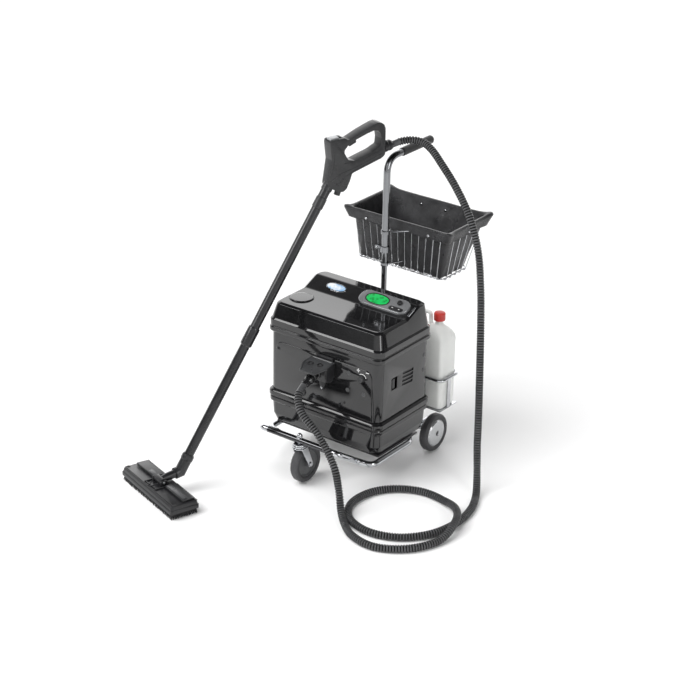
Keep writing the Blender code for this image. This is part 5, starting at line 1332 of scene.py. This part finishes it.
def build_bottle_holder():
    low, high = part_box("bottle_ring")
    low = low - MACHINE
    high = high - MACHINE
    centre = ((low.x + high.x) / 2.0, (low.y + high.y) / 2.0)
    half = ((high.x - low.x) / 2.0, (high.y - low.y) / 2.0)
    ring_z = BOTTLE_RING_Z
    loop = rounded_rectangle(half[0] + 0.0018, half[1] + 0.0018, 0.02, ring_z, centre, 10)
    shapes = [hoop(loop, 0.005)]
    tray_z = low.z
    for x, y, wide_x, wide_y in ((centre[0] + half[0] - 0.0012, centre[1], 0.0012, 0.008),
                                 (centre[0], centre[1] - half[1] + 0.0012, 0.008, 0.0012),
                                 (centre[0], centre[1] + half[1] - 0.0012, 0.008, 0.0012)):
        shapes.append(block((x - wide_x, y - wide_y, tray_z), (x + wide_x, y + wide_y, ring_z + 0.004),
                            0.0005))
    shapes.append(block((centre[0] - 0.044, centre[1] - half[1], tray_z),
                        (centre[0] + half[0], centre[1] + half[1], tray_z + 0.003), 0.0008))
    piece("holder_ring", merged(shapes), "chrome", "machine", ("bottle_ring",))
    arm = block((0.0096, POST_Y - 0.0015, ring_z - 0.006), (0.145, POST_Y + 0.0015, ring_z + 0.006),
                0.0006)
    collar = lathe(soft_profile([(0.0094, -0.006), (0.0094, 0.006), (0.0125, 0.006), (0.0125, -0.006)],
                                0.0008, 2), 36, (0.0, POST_Y, ring_z), ring=True)
    piece("holder_arm", merged([arm, collar]), "chrome", "machine", ("bottle_arm",))


# ---------------------------------------------------------------- wand and gun
FOOT = Vector((0.0, 0.104, 0.115))
HEAD = Vector((0.0, 0.604, 0.897))
ALONG = (HEAD - FOOT).normalized()


def build_wand():
    share = 0.445
    joint = FOOT.lerp(HEAD, share)
    span = (HEAD - FOOT).length
    lower = soft_profile([(0.0, 0.0003), (0.015, 0.0003), (0.015, span * share - 0.034),
                          (0.0172, span * share - 0.032), (0.0185, span * share - 0.028),
                          (0.0185, span * share + 0.024), (0.0178, span * share + 0.029),
                          (0.0157, span * share + 0.03), (0.0157, span * share - 0.0003),
                          (0.0, span * share - 0.0003)], 0.0008, 3)
    wand_piece("wand_tube_lower", lathe(lower, 40, FOOT, ALONG), "tube", "machine", ("wand_lower",))
    upper = [(0.0, 0.0), (0.015, 0.0), (0.015, span * (1.0 - share) - 0.0004),
             (0.0, span * (1.0 - share) - 0.0004)]
    wand_piece("wand_tube_upper", lathe(upper, 40, joint, ALONG), "tube", "machine", ("wand_upper",))
    centre = FOOT.lerp(HEAD, 0.94)
    collar = lathe(soft_profile([(0.0151, -0.018), (0.0151, 0.018), (0.017, 0.016), (0.017, -0.016)],
                                0.0008, 3), 40, centre, ALONG, ring=True)
    wand_piece("wand_ferrule", collar, "gun", "machine")
    spigot = lathe(soft_profile([(0.0151, -0.014), (0.0151, 0.012), (0.0172, 0.012), (0.0172, -0.012)],
                                0.0008, 3), 40, HEAD, ALONG, ring=True)
    wand_piece("gun_spigot", spigot, "gun", "machine")


def build_gun():
    rear = 0.803
    outline = rounded_outline([(0.594, 0.9032), (0.599, 0.935), (0.606, 0.985), (0.6, 1.03),
                               (0.599, 1.048), (0.652, 1.048), (0.664, 1.04), (0.67, 1.04),
                               (0.715, 1.058), (0.761, 1.073), (0.776, 1.0758), (0.788, 1.0735),
                               (0.7975, 1.0655), (0.8025, 1.053), (rear, 1.038), (rear, 0.968),
                               (0.79, 0.959), (0.734, 0.944), (0.6813, 0.93), (0.674, 0.908),
                               (0.662, 0.883), (0.65, 0.876), (0.6305, 0.8775)], 0.011, 6)
    hole = rounded_outline([(0.652, 0.999), (0.652, 1.009), (0.6645, 1.0225), (0.686, 1.0335),
                            (0.734, 1.048), (0.758, 1.0535), (0.774, 1.051), (0.7844, 1.0403),
                            (0.7876, 1.023), (0.7857, 1.0003), (0.7546, 0.9865), (0.6888, 0.9693),
                            (0.666, 0.976)], 0.008, 5)
    trigger_slot = prism([(0.6705, 1.015), (0.705, 1.028), (0.699, 1.046), (0.668, 1.0352)], -0.0072,
                         0.0072)
    lock_seat = block((-0.0116, 0.601, 1.044), (0.0116, 0.647, 1.07))
    latch_seat = block((-0.0072, 0.627, 0.86), (0.0072, 0.654, 0.887))
    body = prism(outline, -0.018, 0.018)
    wand_piece("gun_shell", body, "gun", "machine", ("gun_body",),
          cuts=(prism(hole, -0.03, 0.03), trigger_slot, lock_seat, latch_seat), bevel=0.0056, smooth=45.0)
    trigger = prism(rounded_outline([(0.6775, 1.0125), (0.7025, 1.023), (0.6995, 1.04), (0.6725, 1.0295)],
                                    0.003, 3), -0.0064, 0.0064, 0.0012)
    wand_piece("trigger_blade", trigger, "satin", "trigger_body", ("gun_trigger",))
    lock = block((-0.011, 0.604, 1.0446), (0.011, 0.636, 1.052), 0.0016)
    wand_piece("lock_button", lock, "button", "lock_body", ("gun_lock",))
    groove = []
    for side in (-1.0, 1.0):
        x = side * 0.0179
        for path in ([(0.608, 0.918), (0.64, 0.936), (0.69, 0.946), (0.795, 0.975)],
                     [(0.632, 0.902), (0.655, 0.922), (0.69, 0.938), (0.785, 0.964)],
                     [(0.61, 1.034), (0.616, 0.985), (0.608, 0.935)],
                     [(0.65, 0.966), (0.72, 0.966), (0.79, 0.986)]):
            groove.append(sweep(soften([(x, u, v) for u, v in path], 0.01, 5), 0.0009, 8))
    wand_piece("gun_seams", merged(groove), "satin", "machine")
    end = Matrix.Rotation(-TOOL_YAW, 3, "Z") @ (Vector(HOSE_ROUTE[0]) - TOOL_CENTRE)
    reach = end.y - rear - 0.0003
    collar = lathe(soft_profile([(0.0, 0.0003), (0.0196, 0.0003), (0.019, reach * 0.35),
                                 (0.0168, reach * 0.45), (0.0172, reach * 0.75), (0.0135, reach),
                                 (0.0, reach)], 0.0008, 3), 36, (end.x, rear, end.z), ALONG_Y)
    made = wand_piece("collar_gland", collar, "satin", "machine", ("hose_collar",))
    latch = prism(rounded_outline([(0.634, 0.8775), (0.65, 0.8735), (0.644, 0.859), (0.629, 0.865)],
                                  0.002, 3), -0.006, 0.006, 0.001)
    wand_piece("latch_lever", latch, "satin", "latch_body", ("wand_latch",))
    for number, (u, v) in enumerate(((0.624, 0.905), (0.63, 1.02), (0.78, 0.972)), start=1):
        for side in (-1.0, 1.0):
            screw_head((side * 0.0172, u, v), (side, 0.0, 0.0), 0.0032, "satin",
                       f"gun_screw_{number}_{'right' if side > 0 else 'left'}", place=TO_WAND)
    return made


# ---------------------------------------------------------------- floor tool
def build_floor_tool():
    half_x, half_y = 0.155, 0.05
    low, top = 0.0185, 0.044
    rows = [(0.0, low), (0.0, low + 0.011), (0.0012, low + 0.0125), (0.003, low + 0.0135),
            (0.0045, top - 0.003), (0.006, top - 0.0008), (0.008, top)]
    sections = [rounded_rectangle(half_x - inset * 0.7, half_y - inset, 0.007, z, segments=6)
                for inset, z in rows]
    body = loft(sections)
    ears = [block((x - 0.0035, -0.012, top - 0.002), (x + 0.0035, 0.012, top + 0.018), 0.002)
            for x in (-0.0235, 0.0235)]
    wand_piece("head_plate", merged([body, *ears]), "satin", "head_body", ("tool_head",))
    details = [block((-0.15, -0.0395, top - 0.0005), (0.15, -0.0365, top + 0.0016), 0.0006),
               block((-0.034, -0.036, top - 0.0005), (-0.03, 0.04, top + 0.0045), 0.001),
               block((0.03, -0.036, top - 0.0005), (0.034, 0.04, top + 0.0045), 0.001),
               block((-0.03, -0.0335, top - 0.0005), (0.03, -0.0305, top + 0.0035), 0.001),
               sweep([(-0.014, -0.014, top + 0.01), (-0.004, -0.038, top + 0.0016)], 0.0016, 10),
               sweep([(0.014, -0.014, top + 0.01), (0.004, -0.038, top + 0.0016)], 0.0016, 10)]
    wand_piece("head_ribs", merged(details), "satin", "head_body")
    for number, (x, y) in enumerate(((-0.146, -0.03), (0.146, -0.03), (-0.146, 0.04), (0.146, 0.04)),
                                    start=1):
        # Flat dark squares on the top corners: painted shade where the head has recesses.
        shade_square = block((x - 0.0055, y - 0.005, top - 0.0005), (x + 0.0055, y + 0.005, top + 0.0004), 0.0003)
        wand_piece(f"head_cup_{number}", shade_square, "recess", "head_body")
    for name, side in (("left", -1.0), ("right", 1.0)):
        low_x, high_x = sorted((side * 0.036, side * 0.142))
        outline = rounded_outline([(-0.0025, top + 0.0012), (0.042, top + 0.0012), (0.041, top + 0.005),
                                   (0.033, top + 0.0066), (0.0, top + 0.008), (-0.0025, top + 0.007)],
                                  0.0008, 3)
        body = f"clamp_{name}_body"
        wand_piece(f"clamp_lid_{name}", prism(outline, low_x, high_x, 0.0008), "gun", body,
                   (f"cloth_clamp_{name}",))
        teeth = [block((low_x + 0.006 + step * 0.0105, 0.0345, top + 0.006),
                       (low_x + 0.0105 + step * 0.0105, 0.0395, top + 0.0068), 0.0003)
                 for step in range(9)]
        wand_piece(f"clamp_ribs_{name}", merged(teeth), "satin", body)
        near, far = (0.038, 0.075) if side < 0.0 else (0.038, 0.139)
        low_x, high_x = sorted((side * near, side * far))
        lever = [block((low_x, 0.0, top + 0.0068), (high_x, 0.015, top + 0.0102), 0.001),
                 block((low_x + 0.004, 0.0165, top + 0.0064), (high_x - 0.004, 0.0185, top + 0.008),
                       0.0004)]
        wand_piece(f"clamp_lever_{name}", merged(lever), "lid", body)
        screw_head(((low_x + high_x) / 2.0, 0.01, top + 0.0074), (0.0, 0.0, 1.0), 0.0036, "satin",
                   f"clamp_screw_{name}", body, TO_WAND)
    build_bristles(half_x, half_y, low)
    pivot = Vector((0.0, 0.0, top + 0.012))
    knuckle = lathe(soft_profile([(0.0, -0.0192), (0.01, -0.0192), (0.0108, -0.018), (0.0108, 0.018),
                                  (0.01, 0.0192), (0.0, 0.0192)], 0.0008, 2), 32, pivot, ALONG_X)
    stub = sweep([pivot + Vector((0.0, 0.004, 0.0)), pivot + Vector((0.0, 0.024, 0.0028)),
                  pivot + Vector((0.0, 0.032, 0.0038)), pivot + Vector((0.0, 0.052, 0.0065))], 0.013, 32,
                 [0.0098, 0.0125, 0.013, 0.013])
    wand_piece("neck_joint", merged([knuckle, stub]), "satin", "neck_body", ("tool_neck",))
    start = pivot + Vector((0.0, 0.0526, 0.0065))
    elbow = mitred_pipe([start, FOOT - ALONG * 0.0593, FOOT], 0.018, 40)
    bmesh.ops.bevel(elbow, geom=[edge for edge in elbow.edges if edge.calc_face_angle(0.0) > 0.35],
                    offset=0.003, segments=3, profile=0.5, affect="EDGES")
    cuff = lathe(soft_profile([(0.0181, -0.02), (0.0181, -0.002), (0.0195, -0.003), (0.0195, -0.018)],
                              0.0006, 2), 36, FOOT, ALONG, ring=True)
    wand_piece("elbow_pipe", merged([elbow, cuff]), "gun", "machine", ("tool_elbow",))
    pin = lathe(soft_profile([(0.0, -0.0295), (0.004, -0.029), (0.0045, -0.0275), (0.0045, 0.0275),
                              (0.004, 0.029), (0.0, 0.0295)], 0.0004, 2), 20, pivot, ALONG_X)
    wand_piece("yoke_pin", pin, "steel", "head_body")


def build_bristles(half_x, half_y, low):
    """Rows of splayed tufts under a thin backing strip."""
    tufts = [block((-half_x + 0.006, -half_y + 0.006, low - 0.004),
                   (half_x - 0.006, half_y - 0.006, low - 0.0003))]
    columns = 56
    rows = 17
    for column in range(columns):
        for row in range(rows):
            share_x = column / (columns - 1) * 2.0 - 1.0
            share_y = row / (rows - 1) * 2.0 - 1.0
            if max(abs(share_x), abs(share_y)) < 0.8 and (column + row) % 3:
                continue
            seed = noise.noise(Vector((column * 0.73 + 3.1, row * 1.37 + 1.7, 0.5)))
            other = noise.noise(Vector((column * 1.11 + 8.1, row * 0.67 + 4.4, 2.5)))
            root = Vector((share_x * (half_x - 0.009), share_y * (half_y - 0.009), low - 0.002))
            tip = Vector((share_x * (half_x - 0.005) + 0.003 * seed,
                          share_y * (half_y - 0.005) + 0.003 * other, 0.0003))
            tufts.append(sweep([root, root.lerp(tip, 0.5), tip], 0.0016, 6, [0.0016, 0.0018, 0.0013]))
    wand_piece("bristle_tufts", merged(tufts), "bristle", "head_body", ("tool_bristles",))


# ---------------------------------------------------------------- hidden and plain pieces
def dress_the_rest():
    for node, finish, bevel in (("boiler", "steel", 0.0), ("safety_valve", "brass", 0.0),
                                ("water_tank", "tank", 0.001), ("pump", "satin", 0.0),
                                ("control_board", "board", 0.0004), ("cord_gland", "satin", 0.0006)):
        dress(node, finish, bevel)


# ---------------------------------------------------------------- everything
place_camera()
hose, hose_line, hose_length = build_hose()
plug = build_hose_ends()
light_the_room()
lay_floor()
build_lower_shell()
build_mid_housing()
build_hood()
build_console()
build_front_panel()
build_dial()
build_socket()
build_trolley()
build_rear_wheels()
build_caster()
build_post()
build_hangers()
build_basket()
build_liner()
build_bottle()
build_bottle_holder()
build_wand()
collar = build_gun()
build_floor_tool()
dress_the_rest()
